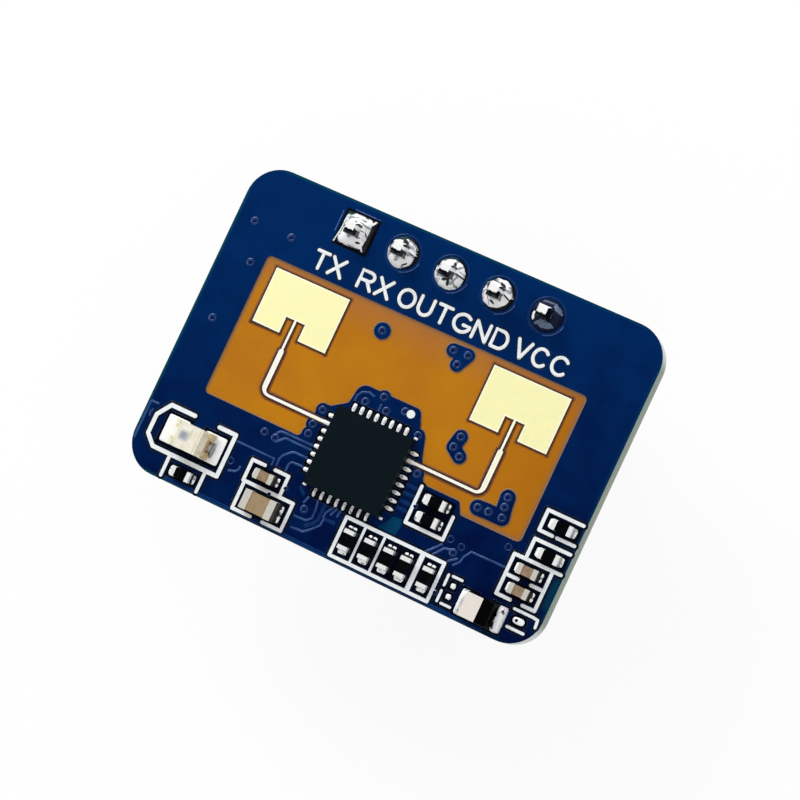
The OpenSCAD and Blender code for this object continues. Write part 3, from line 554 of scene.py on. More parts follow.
def flatPiece(name, shapes, low, high, look):
    # Thin plates of mask between two heights above its surface, from outlines in board millimetres
    shape = bmesh.new()
    for outline in shapes:
        face = shape.faces.new([shape.verts.new(at(x, y, low)) for x, y in outline])
        raised = bmesh.ops.extrude_face_region(shape, geom=[face])["geom"]
        for vert in (v for v in raised if isinstance(v, bmesh.types.BMVert)):
            vert.co.z += (high - low) * mm
    mesh = meshFrom(name, shape)
    mesh.materials.append(looks[look])
    return finishPiece(name, mesh)


def arcPoints(cx, cy, rx, ry, start, end, steps=10):
    angles = [math.radians(start + (end - start) * i / steps) for i in range(steps + 1)]
    return [(cx + rx * math.cos(a), cy + ry * math.sin(a)) for a in angles]


def plate(x0, y0, x1, y1, r=0.08):
    # The outline of a rectangle with rounded corners
    corners = ((x1 - r, y1 - r, 0), (x0 + r, y1 - r, 90), (x0 + r, y0 + r, 180), (x1 - r, y0 + r, 270))
    return [point for cx, cy, start in corners for point in arcPoints(cx, cy, r, r, start, start + 90, 4)]


def welded(node):
    shape = bmesh.new()
    shape.from_mesh(nodes[node].data)
    bmesh.ops.remove_doubles(shape, verts=shape.verts, dist=1e-7)
    return shape


def islandCentres(node):
    # The middle of each separate solid of a node, in board millimetres
    shape = welded(node)
    left, centres = set(shape.verts), []
    while left:
        found, edge = set(), [left.pop()]
        while edge:
            vert = edge.pop()
            found.add(vert)
            for link in vert.link_edges:
                other = link.other_vert(vert)
                if other in left:
                    left.discard(other)
                    edge.append(other)
        xs, ys = [v.co.x for v in found], [v.co.y for v in found]
        centres.append(inBoard((min(xs) + max(xs)) / 2, (min(ys) + max(ys)) / 2, maskTop)[:2])
    shape.free()
    return sorted(centres)


def outlines(node):
    # The closed edges of a node's top faces, as chains in board millimetres with their height
    shape = welded(node)
    shape.normal_update()
    top = max(v.co.z for v in shape.verts)
    faces = {f for f in shape.faces
             if abs(f.normal.z) > 0.9 and all(abs(v.co.z - top) < 2e-6 for v in f.verts)}
    rim = [e for e in shape.edges if sum(f in faces for f in e.link_faces) == 1]
    after = {}
    for edge in rim:
        a, b = edge.verts
        after.setdefault(a, []).append(b)
        after.setdefault(b, []).append(a)
    chains = []
    while after:
        start = min(after, key=lambda v: (v.co.x, v.co.y))
        chain, here = [start], start
        while here in after:
            there = after[here].pop(0)
            after[there].remove(here)
            for vert in (here, there):
                if vert in after and not after[vert]:
                    del after[vert]
            chain.append(there)
            here = there
        chains.append([inBoard(v.co.x, v.co.y, top) for v in chain])
    shape.free()
    return chains


def bounded(chains, box):
    # The chains that lie wholly inside a rectangle
    x0, y0, x1, y1 = box
    return [c for c in chains if all(x0 <= p[0] <= x1 and y0 <= p[1] <= y1 for p in c)]


def spanX(chain):
    return max(p[0] for p in chain) - min(p[0] for p in chain)


def inset(chain, by):
    # A closed chain moved inwards by a distance, corners kept
    ring = chain[:-1]
    area = sum(a[0] * b[1] - b[0] * a[1] for a, b in zip(ring, ring[1:] + ring[:1])) / 2
    moved = []
    for before, here, after in zip(ring[-1:] + ring[:-1], ring, ring[1:] + ring[:1]):
        sides = []
        for a, b in ((before, here), (here, after)):
            length = math.hypot(b[0] - a[0], b[1] - a[1]) * math.copysign(1, area)
            sides.append((-(b[1] - a[1]) / length, (b[0] - a[0]) / length))
        (ux, uy), (vx, vy) = sides
        reach = by / max(0.3, 1 + ux * vx + uy * vy)
        moved.append((here[0] + (ux + vx) * reach, here[1] + (uy + vy) * reach, here[2]))
    return moved + moved[:1]


def lowered(chains, z):
    return [[(p[0], p[1], z) for p in chain] for chain in chains]


# Mask over bare laminate: the dark ground inside the white frames, a painted shadow below the LED, and
# painted shade round the lands
darkZones = dict(low=-0.002, high=0.004, landLift=-0.004, landLine=dict(width=0.26, height=0.012))
flatPiece("mask_clearings_and_led_shadow", [
    plate(0.47, -7.64, 5.56, -5.93),        # the row of resistors
    plate(3.2, -4.74, 5.02, -3.1),          # the pair right of the chip
    plate(-4.8, -6.2, -3.1, -5.4),          # the bypass capacitor
    plate(-4.78, -7.68, -2.26, -6.48),      # the supply capacitor
    plate(9.13, -2.42, 10.86, -1.66),       # the two resistors at the right edge
    plate(9.13, -3.92, 10.86, -3.08),
    plate(8.5, -4.92, 10.3, -4.2),          # and the two capacitors below them
    plate(8.5, -5.9, 10.3, -5.15),
    plate(-8.4, -7.7, -7.3, -7.0),          # the LED's resistor, and a painted shadow above it, below the LED
    plate(-8.42, -6.58, -7.3, -6.3, 0.13),
], darkZones["low"], darkZones["high"], "darkMask")
feedRow = -2.22
landEdges = outlines("component_lands") + [
    c for c in outlines("chip_lands") if spanX(c) < 2 and abs(c[0][1] - feedRow) > 0.15]
grow("land_edge_shade", lowered(landEdges, darkZones["landLift"]), "darkMask", **darkZones["landLine"])
print("dark ground laid")

# Tracks under the mask show as low, paler ridges
tracks = dict(
    line=dict(width=0.1, height=0.012), deepLine=dict(width=0.16, height=0.0072),
    pourLow=-0.002, pourHigh=0.003,
    pour=[(2.0, -5.62), (2.25, -5.3), (2.5, -4.86), (3.02, -4.8), (3.02, -5.2), (2.9, -5.85)],
    clear=[
        [(-4.42, -3.68), (-4.3, -3.52), (-4.1, -3.48), (-2.5, -3.47)],
        [(-4.28, -4.05), (-3.95, -3.73), (-3.8, -3.7), (-2.5, -3.7)],
        [(-3.75, -5.03), (-3.77, -4.72), (-3.68, -4.5), (-3.37, -4.2), (-3.18, -4.12), (-2.5, -4.12)],
        [(-3.23, -5.07), (-3.23, -4.75), (-3.12, -4.6), (-2.5, -4.57)],
        [(-6.1, -4.8), (-4.0, -4.8), (-3.98, -5.1)],
        [(8.28, -4.78), (6.58, -4.81), (6.35, -5.15), (6.28, -5.46), (6.05, -5.72)],
        [(5.16, -5.08), (4.5, -5.8)], [(5.8, -5.08), (5.35, -5.19), (4.9, -5.75)],
        [(6.1, -5.38), (5.75, -5.66)],
        [(-1.65, -5.75), (-1.75, -6.05)],
        [(-1.16, -5.7), (-1.08, -6.1), (-1.06, -6.57), (-1.29, -6.8), (-1.9, -6.82)],
        [(-0.33, -5.7), (-0.56, -6.05), (-0.58, -6.3)],
        [(-0.52, -6.4), (-0.56, -6.72), (-0.9, -7.1), (-1.2, -7.33), (-1.8, -7.36)],
        [(0.06, -5.7), (0.02, -6.0)], [(-0.15, -5.7), (-0.3, -6.05)],
        [(-1.62, -0.7), (-1.6, -0.42), (-1.45, -0.2), (-1.12, -0.08), (-0.84, -0.15)],
        [(-0.35, -0.38), (-0.35, -0.66)],
        [(-10.85, -4.8), (-10.85, -6.7)], [(-10.85, -4.8), (-10.45, -4.78)],
        [(-10.6, -5.15), (-10.66, -5.3), (-10.62, -5.45)],
        [(-5.36, -5.85), (-5.38, -6.0), (-5.5, -6.14), (-5.8, -6.23)],
    ],
    faint=[
        [(2.5, -3.25), (3.05, -3.25)], [(2.5, -3.65), (3.05, -3.65)], [(2.5, -4.05), (3.05, -4.05)],
        [(2.5, -4.4), (3.05, -4.4)], [(-2.2, -5.5), (-1.95, -5.7)],
        [(-0.75, -5.7), (-0.75, -6.5), (-0.9, -6.8), (-1.2, -7.03)], [(-0.45, -6.34), (0.0, -6.34)],
        [(-8.5, -7.86), (8.5, -7.86)],
    ],
)
flatPiece("mask_pale_patch", [tracks["pour"]], tracks["pourLow"], tracks["pourHigh"], "tealMask")
grow("mask_tracks", tracks["clear"], "lineMask", **tracks["line"])
grow("mask_deep_tracks", tracks["faint"], "faintMask", **tracks["deepLine"])

# Vias that the mask tents: a paler ring with a dark dimple, and a painted highlight on the side of the light
tents = dict(
    ring=dict(radius=0.155, width=0.1, height=0.012), dimple=dict(radius=0.1, height=0.008),
    glint=dict(width=0.05, height=0.016), glintRadius=0.165,
    deep=[(8.06, -3.88), (6.05, -4.81), (5.43, -4.69), (-5.92, -5.77)],
    deepRing=dict(radius=0.15, width=0.06, height=0.008),
)


def glintArc(x, y):
    start, end = 80 + 40 * noise.noise(at(x, y) * 900), 230 + 60 * noise.noise(at(y, x) * 700)
    return arcPoints(x, y, tents["glintRadius"], tents["glintRadius"], start, end, 9)


viaPlaces = islandCentres("vias")
grow("via_rims", [viaPlaces], "faintMask", kind="ring", **tents["ring"])
grow("via_glints", [glintArc(x, y) for x, y in viaPlaces], "glintMask", **tents["glint"])
grow("deep_rings", [tents["deep"]], "faintMask", kind="ring", **tents["deepRing"])
grow("via_dimples", [viaPlaces], "dimpleMask", kind="dot", **tents["dimple"])

# Small vias that break the printed lines, each with a painted highlight in white ink
lineVias = dict(
    places=[(5.8, -7.2), (3.22, -4.0), (-2.87, -5.83), (-3.48, -6.4)],
    cap=dict(radius=0.15, height=0.026), glint=dict(width=0.05, height=0.03), glintRadius=0.08, left=0.01,
)
r = lineVias["glintRadius"]
lineGlints = [arcPoints(x - lineVias["left"], y, r, r, 70, 200, 6) for x, y in lineVias["places"]]
grow("line_breaks", [lineVias["places"]], "dimpleMask", kind="dot", **lineVias["cap"])
grow("line_glints", lineGlints, "ink", "white_ink", **lineVias["glint"])
print("tracks and", len(viaPlaces), "vias drawn")

# Painted shade along edges: round the ink, and round the patches where the etched copper edge also shows; a
# painted highlight on the patches' rims; and mask feathered out round the window and its islands
edgeLines = dict(
    ink=dict(width=0.2, height=0.005), trim=dict(width=0.05, height=0.006), trimLift=0.017,
    etchShade=dict(width=0.3, height=0.004), etchShadeLift=0.002,
    etched=dict(width=0.1, height=0.005), outwards=0.015, rim=dict(width=0.06, height=0.004),
    bleed=dict(width=0.12, height=0.006), island=dict(width=0.156, height=0.007),
    laminate=(boardHigh.z - maskTop) / mm, firstLeadDot=(0.8, -0.55, 1.45, 0.15), window=(-9, -5.9, 9, 4.2),
)
inkEdges = [c for c in outlines("silkscreen") if not bounded([c], edgeLines["firstLeadDot"])]
grow("legend_edges", lowered(inkEdges, 0), "shadeMask", **edgeLines["ink"])
grow("legend_trim", lowered(inkEdges, edgeLines["trimLift"]), "shadeMask", **edgeLines["trim"])
patchEdges = outlines("antenna_left") + outlines("antenna_right")
grow("antenna_edge_shade", lowered(patchEdges, edgeLines["laminate"] + edgeLines["etchShadeLift"]),
     "shadedAmber", "laminate", **edgeLines["etchShade"])
grow("antenna_etched_edges", [inset(chain, -edgeLines["outwards"]) for chain in patchEdges], "etchShade",
     "laminate", **edgeLines["etched"])
# A painted highlight along the inside of each patch's rim
rimInset = (edgeLines["etched"]["width"] + edgeLines["rim"]["width"]) / 2 - edgeLines["outwards"]
grow("antenna_rim_glints", [inset(chain, rimInset) for chain in patchEdges], "patchGlint",
     "antenna_gold", **edgeLines["rim"])
maskEdges = bounded(outlines("solder_mask_front"), edgeLines["window"])
windowEdge = max(maskEdges, key=spanX)
islandEdges = [c for c in maskEdges if c is not windowEdge and min(p[1] for p in c) > -3.5 and spanX(c) > 0.4]
grow("window_bleed", lowered([windowEdge], edgeLines["laminate"]), "bleed", **edgeLines["bleed"])
grow("island_shade", lowered(islandEdges, edgeLines["laminate"]), "bleed", **edgeLines["island"])
print("edges shaded")

# Signal names beside the pins, in plain round-ended strokes
labels = dict(
    foot=4.265, head=5.105, ink=dict(width=0.175, height=0.02), shade=dict(width=0.27, height=0.005),
    places=(
        ("T", -6.405, -5.795), ("X", -5.555, -4.875), ("R", -3.955, -3.265), ("X", -2.985, -2.315),
        ("O", -1.805, -1.025), ("U", -0.755, -0.095), ("T", 0.195, 0.855), ("G", 1.125, 1.955),
        ("N", 2.195, 2.885), ("D", 3.195, 3.885), ("V", 4.375, 5.055), ("C", 5.295, 5.955),
        ("C", 6.275, 6.985),
    ),
)
letters = dict(
    T=[[(0, 1), (1, 1)], [(0.5, 1), (0.5, 0)]],
    X=[[(0, 1), (1, 0)], [(1, 1), (0, 0)]],
    R=[[(0, 0), (0, 1), (0.55, 1), *arcPoints(0.62, 0.74, 0.36, 0.26, 80, -80, 8), (0.55, 0.48), (0, 0.48)],
       [(0.55, 0.48), (1, 0)]],
    O=[arcPoints(0.5, 0.5, 0.5, 0.5, 0, 360, 24)],
    U=[[(0, 1), *arcPoints(0.5, 0.4, 0.5, 0.4, 180, 360, 12), (1, 1)]],
    G=[[*arcPoints(0.52, 0.5, 0.52, 0.5, 48, 340, 20), (1, 0.42), (0.6, 0.42)]],
    N=[[(0, 0), (0, 1)], [(0, 1), (1, 0)], [(1, 0), (1, 1)]],
    D=[[(0, 0), (0, 1), (0.45, 1), *arcPoints(0.5, 0.5, 0.5, 0.5, 84, -84, 14), (0.45, 0), (0, 0)]],
    V=[[(0, 1), (0.5, 0)], [(0.5, 0), (1, 1)]],
    C=[arcPoints(0.54, 0.5, 0.54, 0.5, 42, 318, 20)],
)
strokes = [
    [(left + u * (right - left), labels["foot"] + v * (labels["head"] - labels["foot"])) for u, v in stroke]
    for letter, left, right in labels["places"] for stroke in letters[letter]
]
grow("pin_names", strokes, "ink", "white_ink", **labels["ink"])
grow("pin_name_edges", strokes, "shadeMask", **labels["shade"])
print("pin names drawn")

# The tints a heap of solder takes: white solder, bright or matt, and grey, dark, navy, slate and teal as
# painted shade and reflections
solderLooks = ("handSolder", "greySolder", "darkSolder", "frosted", "navySolder", "slateSolder", "tealSolder")
bright, grey, dark, matt, navy, slate, teal = range(7)


def uneven(x, y, seed):
    return noise.noise(Vector((x, y, seed)))


def roundedReach(hx, hy, power, wobble=0.0, seed=0.0):
    # The outline of a rectangle with soft corners, a little uneven
    def reach(a):
        size = ((abs(math.cos(a)) / hx) ** power + (abs(math.sin(a)) / hy) ** power) ** (-1 / power)
        return size * (1 + wobble * uneven(math.cos(a) * 2, math.sin(a) * 2, seed))
    return reach


def dome(tall, power):
    return lambda x, y, t: tall * (1 - (1 - t) ** power)


def insideSpot(x, y, spot, limit=1.0):
    cx, cy, rx, ry, turn = spot
    c, s = math.cos(math.radians(turn)), math.sin(math.radians(turn))
    dx, dy = x - cx, y - cy
    return ((dx * c + dy * s) / rx) ** 2 + ((dy * c - dx * s) / ry) ** 2 < limit


def heap(shape, place, reach, rise, tint, around, up, inner=0.0):
    # A closed heap of solder in rings from its rim to its middle. reach(angle) is its outline; rise and tint
    # take a point in millimetres from its middle and t, which runs from 0 at the rim to 1 at the top
    base = (landTop - maskTop) / mm
    spin = [2 * math.pi * j / around for j in range(around)]
    rings = []
    for i in range(up + 1):
        t = i / up
        if i == up and not inner:
            rings.append([shape.verts.new(at(*place, base + rise(0, 0, 1)))] * around)
            break
        radii = [inner + (reach(a) - inner) * (1 - t) for a in spin]
        points = [(r * math.cos(a), r * math.sin(a)) for r, a in zip(radii, spin)]
        rings.append([shape.verts.new(at(place[0] + x, place[1] + y, base + (rise(x, y, t) if i else 0)))
                      for x, y in points])
    for i, (lower, upper) in enumerate(zip(rings, rings[1:])):
        for j in range(around):
            k = (j + 1) % around
            apex = upper[j] is upper[k]
            face = shape.faces.new([lower[j], lower[k], upper[k]] + ([] if apex else [upper[j]]))
            spot = (face.calc_center_median() - at(*place)) / mm
            face.material_index = tint(spot.x, spot.y, i / up)
            face.smooth = True
    shape.faces.new(rings[0][::-1])
    if inner:
        shape.faces.new(rings[-1])


def solderPiece(name, shape, replaced):
    mesh = meshFrom(name, shape)
    for look in solderLooks:
        mesh.materials.append(looks[look])
    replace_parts(finishPiece(name, mesh), replaced)


# Hand-soldered pins, no two alike, their tints painted reflections, highlights and shade. Each joint's lit
# part has a middle, half sizes and a roundness;
# outside it the solder is painted dark. Marks are ellipses: middle, half sizes, turn and tint; the first that
# fits counts.
# The higher a place, the further left it is counted
joints = dict(
    pads=[-5.08, -2.54, 0.0, 2.54, 5.08], row=6.6, radius=0.8, side=0.83, neck=0.34, dull=4, lean=0.3,
    squareness=12, ragged=0.02, bowl=0.34, collar=0.22, ridge=0.07, ridgeHalf=0.07, lumps=0.07,
    middles=[(-0.12, 0.03, 0.7, 0.8, 5), (-0.11, -0.07, 0.71, 0.73, 2), (-0.03, -0.08, 0.75, 0.72, 2),
             (-0.11, 0.02, 0.71, 0.71, 2), (0, 0, 1, 1, 2)],
    marks=[
        [(0.63, 0.69, 0.17, 0.05, 57, matt), (0.52, -0.66, 0.16, 0.06, -48, matt),
         (-0.6, 0.75, 0.22, 0.1, 40, teal), (-0.43, 0.04, 0.27, 0.06, 0, dark),
         (-0.25, 0.39, 0.04, 0.07, 0, dark), (0.05, 0.08, 0.3, 0.025, 0, dark),
         (0.47, 0.02, 0.13, 0.03, -55, dark), (0.27, -0.49, 0.12, 0.05, 8, dark),
         (0.1, 0.6, 0.16, 0.04, -8, grey), (-0.74, 0.1, 0.035, 0.5, 0, grey)],
        [(-0.05, 0.24, 0.28, 0.05, -6, matt), (0.35, 0.15, 0.32, 0.055, -16, matt),
         (-0.1, 0.46, 0.17, 0.1, -30, dark), (-0.28, -0.05, 0.42, 0.12, 0, dark),
         (0.45, 0.0, 0.25, 0.035, -16, dark), (-0.36, -0.2, 0.1, 0.06, 0, dark),
         (-0.2, -0.36, 0.14, 0.05, 12, grey), (0.26, -0.53, 0.14, 0.04, 40, dark),
         (0.35, 0.5, 0.3, 0.05, -28, grey), (-0.42, 0.64, 0.5, 0.13, 22, teal),
         (-0.74, 0.26, 0.04, 0.24, 0, dark), (0.4, 0.27, 0.26, 0.025, -16, grey)],
        [(0.36, 0.12, 0.36, 0.055, -10, matt), (0.0, 0.32, 0.08, 0.22, 0, dark),
         (-0.25, -0.08, 0.4, 0.11, 10, dark), (-0.36, -0.22, 0.13, 0.1, 40, dark),
         (0.4, 0.0, 0.36, 0.035, -8, dark), (0.03, -0.48, 0.07, 0.14, 15, dark),
         (0.3, -0.2, 0.2, 0.05, 60, grey), (-0.71, 0.25, 0.04, 0.22, 0, dark),
         (-0.38, 0.66, 0.55, 0.13, 18, teal), (0.3, 0.36, 0.22, 0.06, 40, grey),
         (-0.1, -0.34, 0.2, 0.08, 30, dark), (0.22, -0.42, 0.14, 0.08, 50, grey)],
        [(0.36, 0.13, 0.42, 0.05, -13, matt), (0.0, 0.42, 0.16, 0.09, -40, dark),
         (-0.36, 0.5, 0.2, 0.03, -5, dark), (-0.24, -0.04, 0.36, 0.09, 0, dark),
         (0.44, -0.05, 0.26, 0.035, -20, dark), (-0.17, -0.48, 0.15, 0.04, -20, dark),
         (-0.4, -0.42, 0.3, 0.03, -50, grey), (-0.58, 0.55, 0.28, 0.08, 42, teal),
         (-0.66, 0.26, 0.03, 0.2, 0, dark), (0.4, 0.21, 0.34, 0.018, -13, grey)],
        [(0.36, 0.42, 0.28, 0.13, -22, slate), (0.62, 0.3, 0.05, 0.05, 0, grey),
         (0.03, -0.46, 0.45, 0.17, 4, slate), (-0.62, -0.24, 0.07, 0.2, 14, matt),
         (-0.15, 0.6, 0.4, 0.05, 5, slate)],
    ],
)


def firstPadCorner(x, y):
    # Left of the joint, above it and at its lower corners
    return x < -0.3 or y > 0.42 or (x < 0.3 and y > -0.7) or (x > 0.5 and y < -0.7)


shape = bmesh.new()
for number, pad in enumerate(joints["pads"]):
    def edgeOf(a):
        ragged = joints["ragged"] * uneven(math.cos(a) * 3, math.sin(a) * 3, number * 5.1)
        if number:
            return joints["radius"] + ragged
        # The first pad is square
        return roundedReach(joints["side"], joints["side"], joints["squareness"])(a) + ragged

    def riseOf(x, y, t):
        bowl = joints["bowl"] * (1 - (1 - t) ** 3) + joints["collar"] * t ** 3
        fromRidge = (y - 0.08 + 0.2 * x) / joints["ridgeHalf"]
        ridge = joints["ridge"] * math.exp(-fromRidge ** 2) if x > 0.3 else 0
        lump = joints["lumps"] * uneven(x * 2.2, y * 2.2, number * 7.3)
        return bowl + ridge * min(1, 3 * t) + lump * min(1, 4 * t)

    def tintOf(x, y, t):
        seenX = x - joints["lean"] * riseOf(x, y, t)
        rough = 1 + 0.5 * uneven(x * 6, y * 6, number * 3.7)
        for *spot, look in joints["marks"][number]:
            if insideSpot(seenX, y, spot, rough):
                return look
        if number == joints["dull"]:
            return navy
        cx, cy, rx, ry, power = joints["middles"][number]
        edge = (abs(seenX - cx) / rx) ** power + (abs(y - cy) / ry) ** power
        if edge > 1 + 0.15 * uneven(x * 3, y * 3, number * 9.1):
            # The first pad's free corners stay as blue as the mask
            return navy if not number and firstPadCorner(seenX, y) else dark
        darkSpots = [spot for *spot, look in joints["marks"][number] if look == dark]
        if any(insideSpot(seenX, y, spot, rough + 0.5) for spot in darkSpots):
            return grey
        if uneven(x * 3, y * 6, number * 4.3) > (0.16 if y > 0 else 0.4):
            return grey
        return matt if uneven(x * 2.5, y * 2.5, number * 6.1) > -0.3 else bright

    heap(shape, (pad, joints["row"]), edgeOf, riseOf, tintOf, 140, 30, joints["neck"])
solderPiece("pin_joints", shape, "pin_solder")

# Mask round the pads, painted glints on its edges, and a thread of solder left on the first
padLines = dict(
    ring=dict(radius=0.86, width=0.12, height=0.008), glint=dict(width=0.06, height=0.012), glintRadius=0.93,
    edge=dict(width=0.05, height=0.012), edges=[[(-1.05, 0.7), (-1.04, -0.35)], [(-0.5, 0.97), (0.85, 0.95)]],
    thread=dict(width=0.07, height=0.035),
    threads=[[(-0.6, 0.62, 0.2), (-0.68, 0.2, 0.2), (-0.76, -0.3, 0.12), (-0.88, -0.8, 0.02)]],
)
firstX, firstY = joints["pads"][0], joints["row"]
roundPads = [(pad, joints["row"]) for pad in joints["pads"][1:]]
glintRadius = padLines["glintRadius"]
padGlints = [arcPoints(x + 0.02, y, glintRadius, glintRadius, -78, -12) for x, y in roundPads]
padEdges, padThreads = (
    [[(firstX + x, firstY + y, *z) for x, y, *z in chain] for chain in padLines[key]]
    for key in ("edges", "threads"))
grow("pad_rims", [roundPads], "faintMask", kind="ring", **padLines["ring"])
grow("pad_rim_glints", padGlints, "glintMask", **padLines["glint"])
grow("square_pad_glints", padEdges, "glintMask", **padLines["edge"])
grow("solder_thread", padThreads, "frosted", "solder", **padLines["thread"])
print("pin joints made")

# Toes of solder at the chip's leads: square ones left, long ones right, narrow ones below with the right side
# painted dark, and low ones at the two leads that meet the feed lines
chipLow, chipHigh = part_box("radar_chip_body")
chipX, chipY = (value / mm for value in ((chipLow + chipHigh) / 2 - middle)[:2])
toes = dict(
    out=2.2, fedOut=2.26, fed=dict(long=0.38, wide=0.1, rise=0.06),
    left=dict(long=0.24, wide=0.125, rise=0.12, power=3.2),
    right=dict(long=0.27, wide=0.115, rise=0.14, power=1.7),
    top=dict(long=0.24, wide=0.115, rise=0.12, power=3.2),
    bottom=dict(long=0.24, wide=0.105, rise=0.2, power=2.6),
    corners=[(-2.1, -5.27), (1.97, -5.2), (1.88, -1.15)], corner=(0.12, 0.08), cornerRise=0.08,
    beyond=1.6, fedNear=0.1, wobble=0.05,
)
shape = bmesh.new()
leads = [(x, y) for x, y in islandCentres("chip_solder")
         if max(abs(x - chipX), abs(y - chipY)) > toes["beyond"]]
for x, y in leads:
    sideways = abs(x - chipX) > abs(y - chipY)
    side = ("left", "right")[x > chipX] if sideways else ("bottom", "top")[y > chipY]
    fed = sideways and abs(y - feedRow) < toes["fedNear"]
    toe = toes["fed" if fed else side]
    if sideways:
        place = (chipX + math.copysign(toes["fedOut" if fed else "out"], x - chipX), y)
        halves = (toe["long"], toe["wide"])
    else:
        place = (x, chipY + math.copysign(toes["out"], y - chipY))
        halves = (toe["wide"], toe["long"])

    def tintOf(x, y, t):
        if side == "right" and not fed:
            return grey if insideSpot(x, y, (-0.04, 0.0, 0.07, 0.025, 0)) else matt
        if side == "bottom":
            mottle = uneven(x * 6, y * 6, place[0] * 3 + place[1] * 7)
            return dark if x > 0.075 else grey if mottle > 0.6 else matt
        return matt

    outline = roundedReach(*halves, toes[side]["power"], toes["wobble"], place[0] + place[1])
    heap(shape, place, outline, dome(toe["rise"], 2), tintOf, 28, 8)
for place in toes["corners"]:
    outline = roundedReach(*toes["corner"], 2.5)
    heap(shape, place, outline, dome(toes["cornerRise"], 3), lambda x, y, t: matt, 16, 5)
solderPiece("chip_toes", shape, "chip_solder")
print(len(leads), "chip toes made")

# Fillets at the ends of the small parts, tinted as painted reflections and highlights. Those that face right
# or up have a painted dark step, then two painted bright corners; those that face left or down are bright all
# over
fillets = dict(
    under=0.03, half=0.13, beside=0.01, climb=0.55, bead=0.05, power=6.0, wobble=0.04,
    step=0.3, corners=(0.2, 0.85), dull=-0.55, end=0.9,
)
partBoxes = {}
for name in nodes:
    if name.endswith("_ends") and not name.startswith("indicator"):
        low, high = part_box(name)
        partBoxes[name] = inBoard(*low)[:2] + inBoard(*high)
shape = bmesh.new()
for name, (x0, y0, x1, y1, tall) in sorted(partBoxes.items()):
    turned = y1 - y0 > x1 - x0
    for sign in (-1, 1):
        out = sign * (fillets["half"] - fillets["under"])
        if turned:
            place = ((x0 + x1) / 2, (y1 if sign > 0 else y0) + out)
            halves = ((x1 - x0) / 2 + fillets["beside"], fillets["half"])
        else:
            place = ((x1 if sign > 0 else x0) + out, (y0 + y1) / 2)
            halves = (fillets["half"], (y1 - y0) / 2 + fillets["beside"])

        def outward(x, y):
            return (y if turned else x) * sign / fillets["half"]

        def riseOf(x, y, t):
            u = (1 - outward(x, y)) / 2
            return (fillets["climb"] * tall * u ** 3 + fillets["bead"]) * (1 - (1 - t) ** 4)

        def tintOf(x, y, t):
            u, v = outward(x, y), (x if turned else y) / max(halves)
            mottle = uneven(x * 9, y * 9, place[0] * 5 + place[1] * 3)
            if sign > 0:
                if u < fillets["step"] * mottle:
                    return grey if name.startswith("side_r") else dark
                if name.startswith(("led", "side_r")):
                    return matt if mottle > -0.2 else grey
                inner, outer = fillets["corners"]
                return matt if inner < abs(v - 0.1 * mottle) < outer else (grey if mottle > 0 else dark)
            if u < fillets["dull"]:
                return grey
            return matt if mottle > -0.3 and abs(v) < fillets["end"] else grey

        outline = roundedReach(*halves, fillets["power"], fillets["wobble"], place[0])
        heap(shape, place, outline, riseOf, tintOf, 44, 12)

# Flat white solder on the LED's lands and round the diode's leads, the spare lands and the test pad
pads = dict(
    led=dict(power=14.0, wobble=0.01, steep=9, lumps=0, spots=[
        ((-9.11, -5.63), (0.66, 0.79), 0.042), ((-7.04, -5.63), (0.66, 0.79), 0.042)]),
    diode=dict(power=10.0, wobble=0.06, steep=4, lumps=0.03, spots=[
        ((7.19, -7.07), (0.235, 0.66), 0.3), ((9.1, -7.07), (0.25, 0.66), 0.5)]),
    spare=dict(power=4.0, wobble=0.08, steep=4, lumps=0, spots=[
        ((6.49, -6.6), (0.14, 0.14), 0.09), ((6.49, -7.13), (0.14, 0.14), 0.09)]),
    test=dict(power=3.0, wobble=0.04, steep=4, lumps=0, spots=[((9.96, -6.76), (0.32, 0.18), 0.09)]),
)
for kind, pad in pads.items():
    for place, halves, tall in pad["spots"]:
        def riseOf(x, y, t):
            lump = pad["lumps"] * uneven(x * 5, y * 5, place[0])
            return (tall + lump) * (1 - (1 - t) ** pad["steep"])

        def tintOf(x, y, t):
            mottle = uneven(x * 6, y * 4, place[0] * 3)
            if kind == "test":
                return dark if insideSpot(x, y, (-0.1, 0.0, 0.08, 0.08, 0)) else matt
            if kind == "diode" and place[0] > 8.5:
                return dark if mottle > 0.5 else grey if mottle > 0.32 else matt
            return matt if mottle < 0.45 or kind == "led" else grey

        outline = roundedReach(*halves, pad["power"], pad["wobble"], place[0])
        heap(shape, place, outline, riseOf, tintOf, 60, 14)

# The LED's far end: solder drawn up its notch
notch = dict(place=(-6.95, -5.72), halves=(0.13, 0.46), power=2.0, wobble=0.1, seed=3.0, rise=0.2)
outline = roundedReach(*notch["halves"], notch["power"], notch["wobble"], notch["seed"])
heap(shape, notch["place"], outline, dome(notch["rise"], 2), lambda x, y, t: grey, 40, 10)
solderPiece("reflow_joints", shape, "reflow_solder")
print("joints of the small parts made")

floorSettings = dict(size=1.2, colour="#ffffff", shown=0.88)
bpy.ops.mesh.primitive_plane_add(size=floorSettings["size"], location=(0, 0, cadBox[0].z))
floor = bpy.context.object
floor.name = "floor"


def paleFloor():
    # Seen directly or in a reflection it is nearly plain white, and it still takes the object's shadow
    made = bpy.data.materials.new("pale floor")
    made.use_nodes = True
    tree = made.node_tree
    tree.nodes.clear()
    diffuse = output(tree, "ShaderNodeBsdfDiffuse", {"Color": fromHex(floorSettings["colour"])})
    white = output(tree, "ShaderNodeEmission", {"Strength": 1.0})
    path = addNode(tree, "ShaderNodeLightPath").outputs
    seen = most(path["Is Camera Ray"], most(path["Is Glossy Ray"], path["Is Transmission Ray"]))
    both = output(tree, "ShaderNodeMixShader", {0: times(seen, floorSettings["shown"]), 1: diffuse, 2: white})
    addNode(tree, "ShaderNodeOutputMaterial", {"Surface": both})
    return made


floor.data.materials.append(paleFloor())

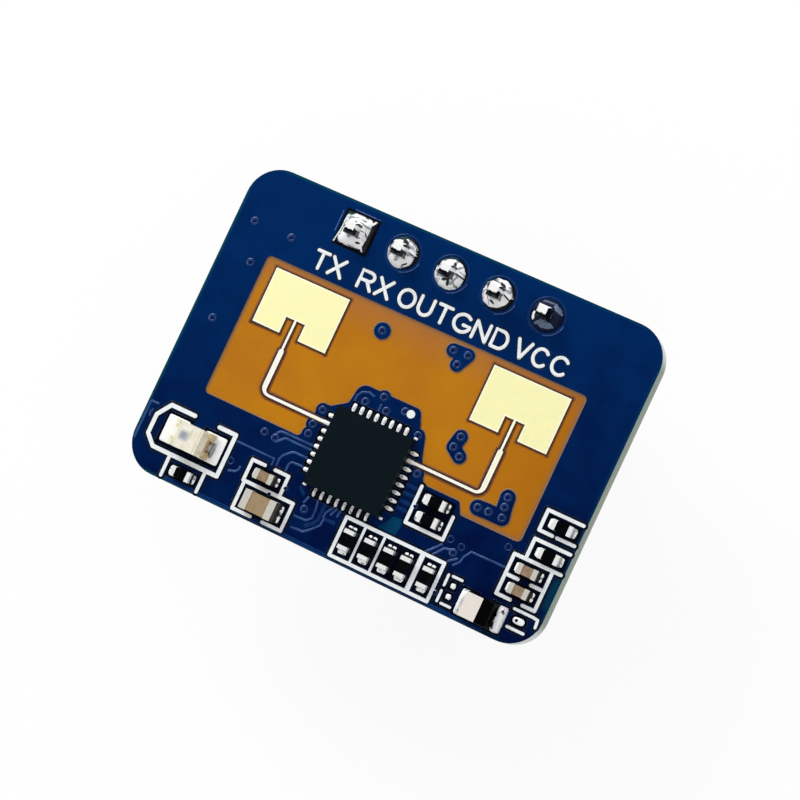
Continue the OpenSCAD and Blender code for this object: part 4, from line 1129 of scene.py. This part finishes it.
# Soft light all round from low to middling heights, brighter on one side, with a dark hole overhead
skySettings = dict(hole=(-0.26, 0.03, 0.965), inner=22, outer=36, dark=0.02, strength=1.32,
                   brighter=(-0.5, 0.75, 0.3), swing=0.3, base=0.91)


def studioSky():
    world = bpy.data.worlds.new("studio")
    bpy.context.scene.world = world
    world.use_nodes = True
    tree = world.node_tree
    tree.nodes.clear()
    direction = addNode(tree, "ShaderNodeTexCoord").outputs["Generated"]
    facing, side = (addNode(tree, "ShaderNodeVectorMath", {
        "operation": "DOT_PRODUCT", 0: direction, 1: Vector(skySettings[key]).normalized(),
    }).outputs["Value"] for key in ("hole", "brighter"))
    outer, inner = (math.cos(math.radians(skySettings[key])) for key in ("outer", "inner"))
    glow = remap(facing, outer, inner, skySettings["strength"], skySettings["dark"])
    glow = times(glow, plus(times(side, skySettings["swing"]), skySettings["base"]))
    seen = addNode(tree, "ShaderNodeLightPath").outputs["Is Camera Ray"]
    strength = output(tree, "ShaderNodeMix", {"data_type": "FLOAT", 0: seen, 2: glow, 3: 1.0})
    sky = output(tree, "ShaderNodeBackground", {"Strength": strength})
    addNode(tree, "ShaderNodeOutputWorld", {"Surface": sky})


studioSky()

lampSettings = dict(name="key", place=(-0.16, 0.14, 0.15), size=0.12, watts=0.32)
lampData = bpy.data.lights.new(lampSettings["name"], "AREA")
lampData.size = lampSettings["size"]
lampData.energy = lampSettings["watts"]
lamp = bpy.data.objects.new(lampSettings["name"], lampData)
lamp.location = lampSettings["place"]
lamp.rotation_euler = (middle - lamp.location).to_track_quat("-Z", "Y").to_euler()
bpy.context.scene.collection.objects.link(lamp)

# The camera stands where the photograph's did: 117 mm away and 74 degrees up
cameraSettings = dict(place=(32.46, -10.38, 115.65), turn=(8.6873, 13.6209, 25.9125), lens=111.86)
cameraData = bpy.data.cameras.new("camera")
cameraData.lens = cameraSettings["lens"]
cameraData.sensor_width = 36
cameraData.clip_start, cameraData.clip_end = 0.001, 10
camera = bpy.data.objects.new("camera", cameraData)
camera.location = [value * mm for value in cameraSettings["place"]]
camera.rotation_euler = [math.radians(value) for value in cameraSettings["turn"]]
bpy.context.scene.collection.objects.link(camera)
bpy.context.scene.camera = camera
bpy.context.scene.view_settings.view_transform = "Standard"

print("scene ready")
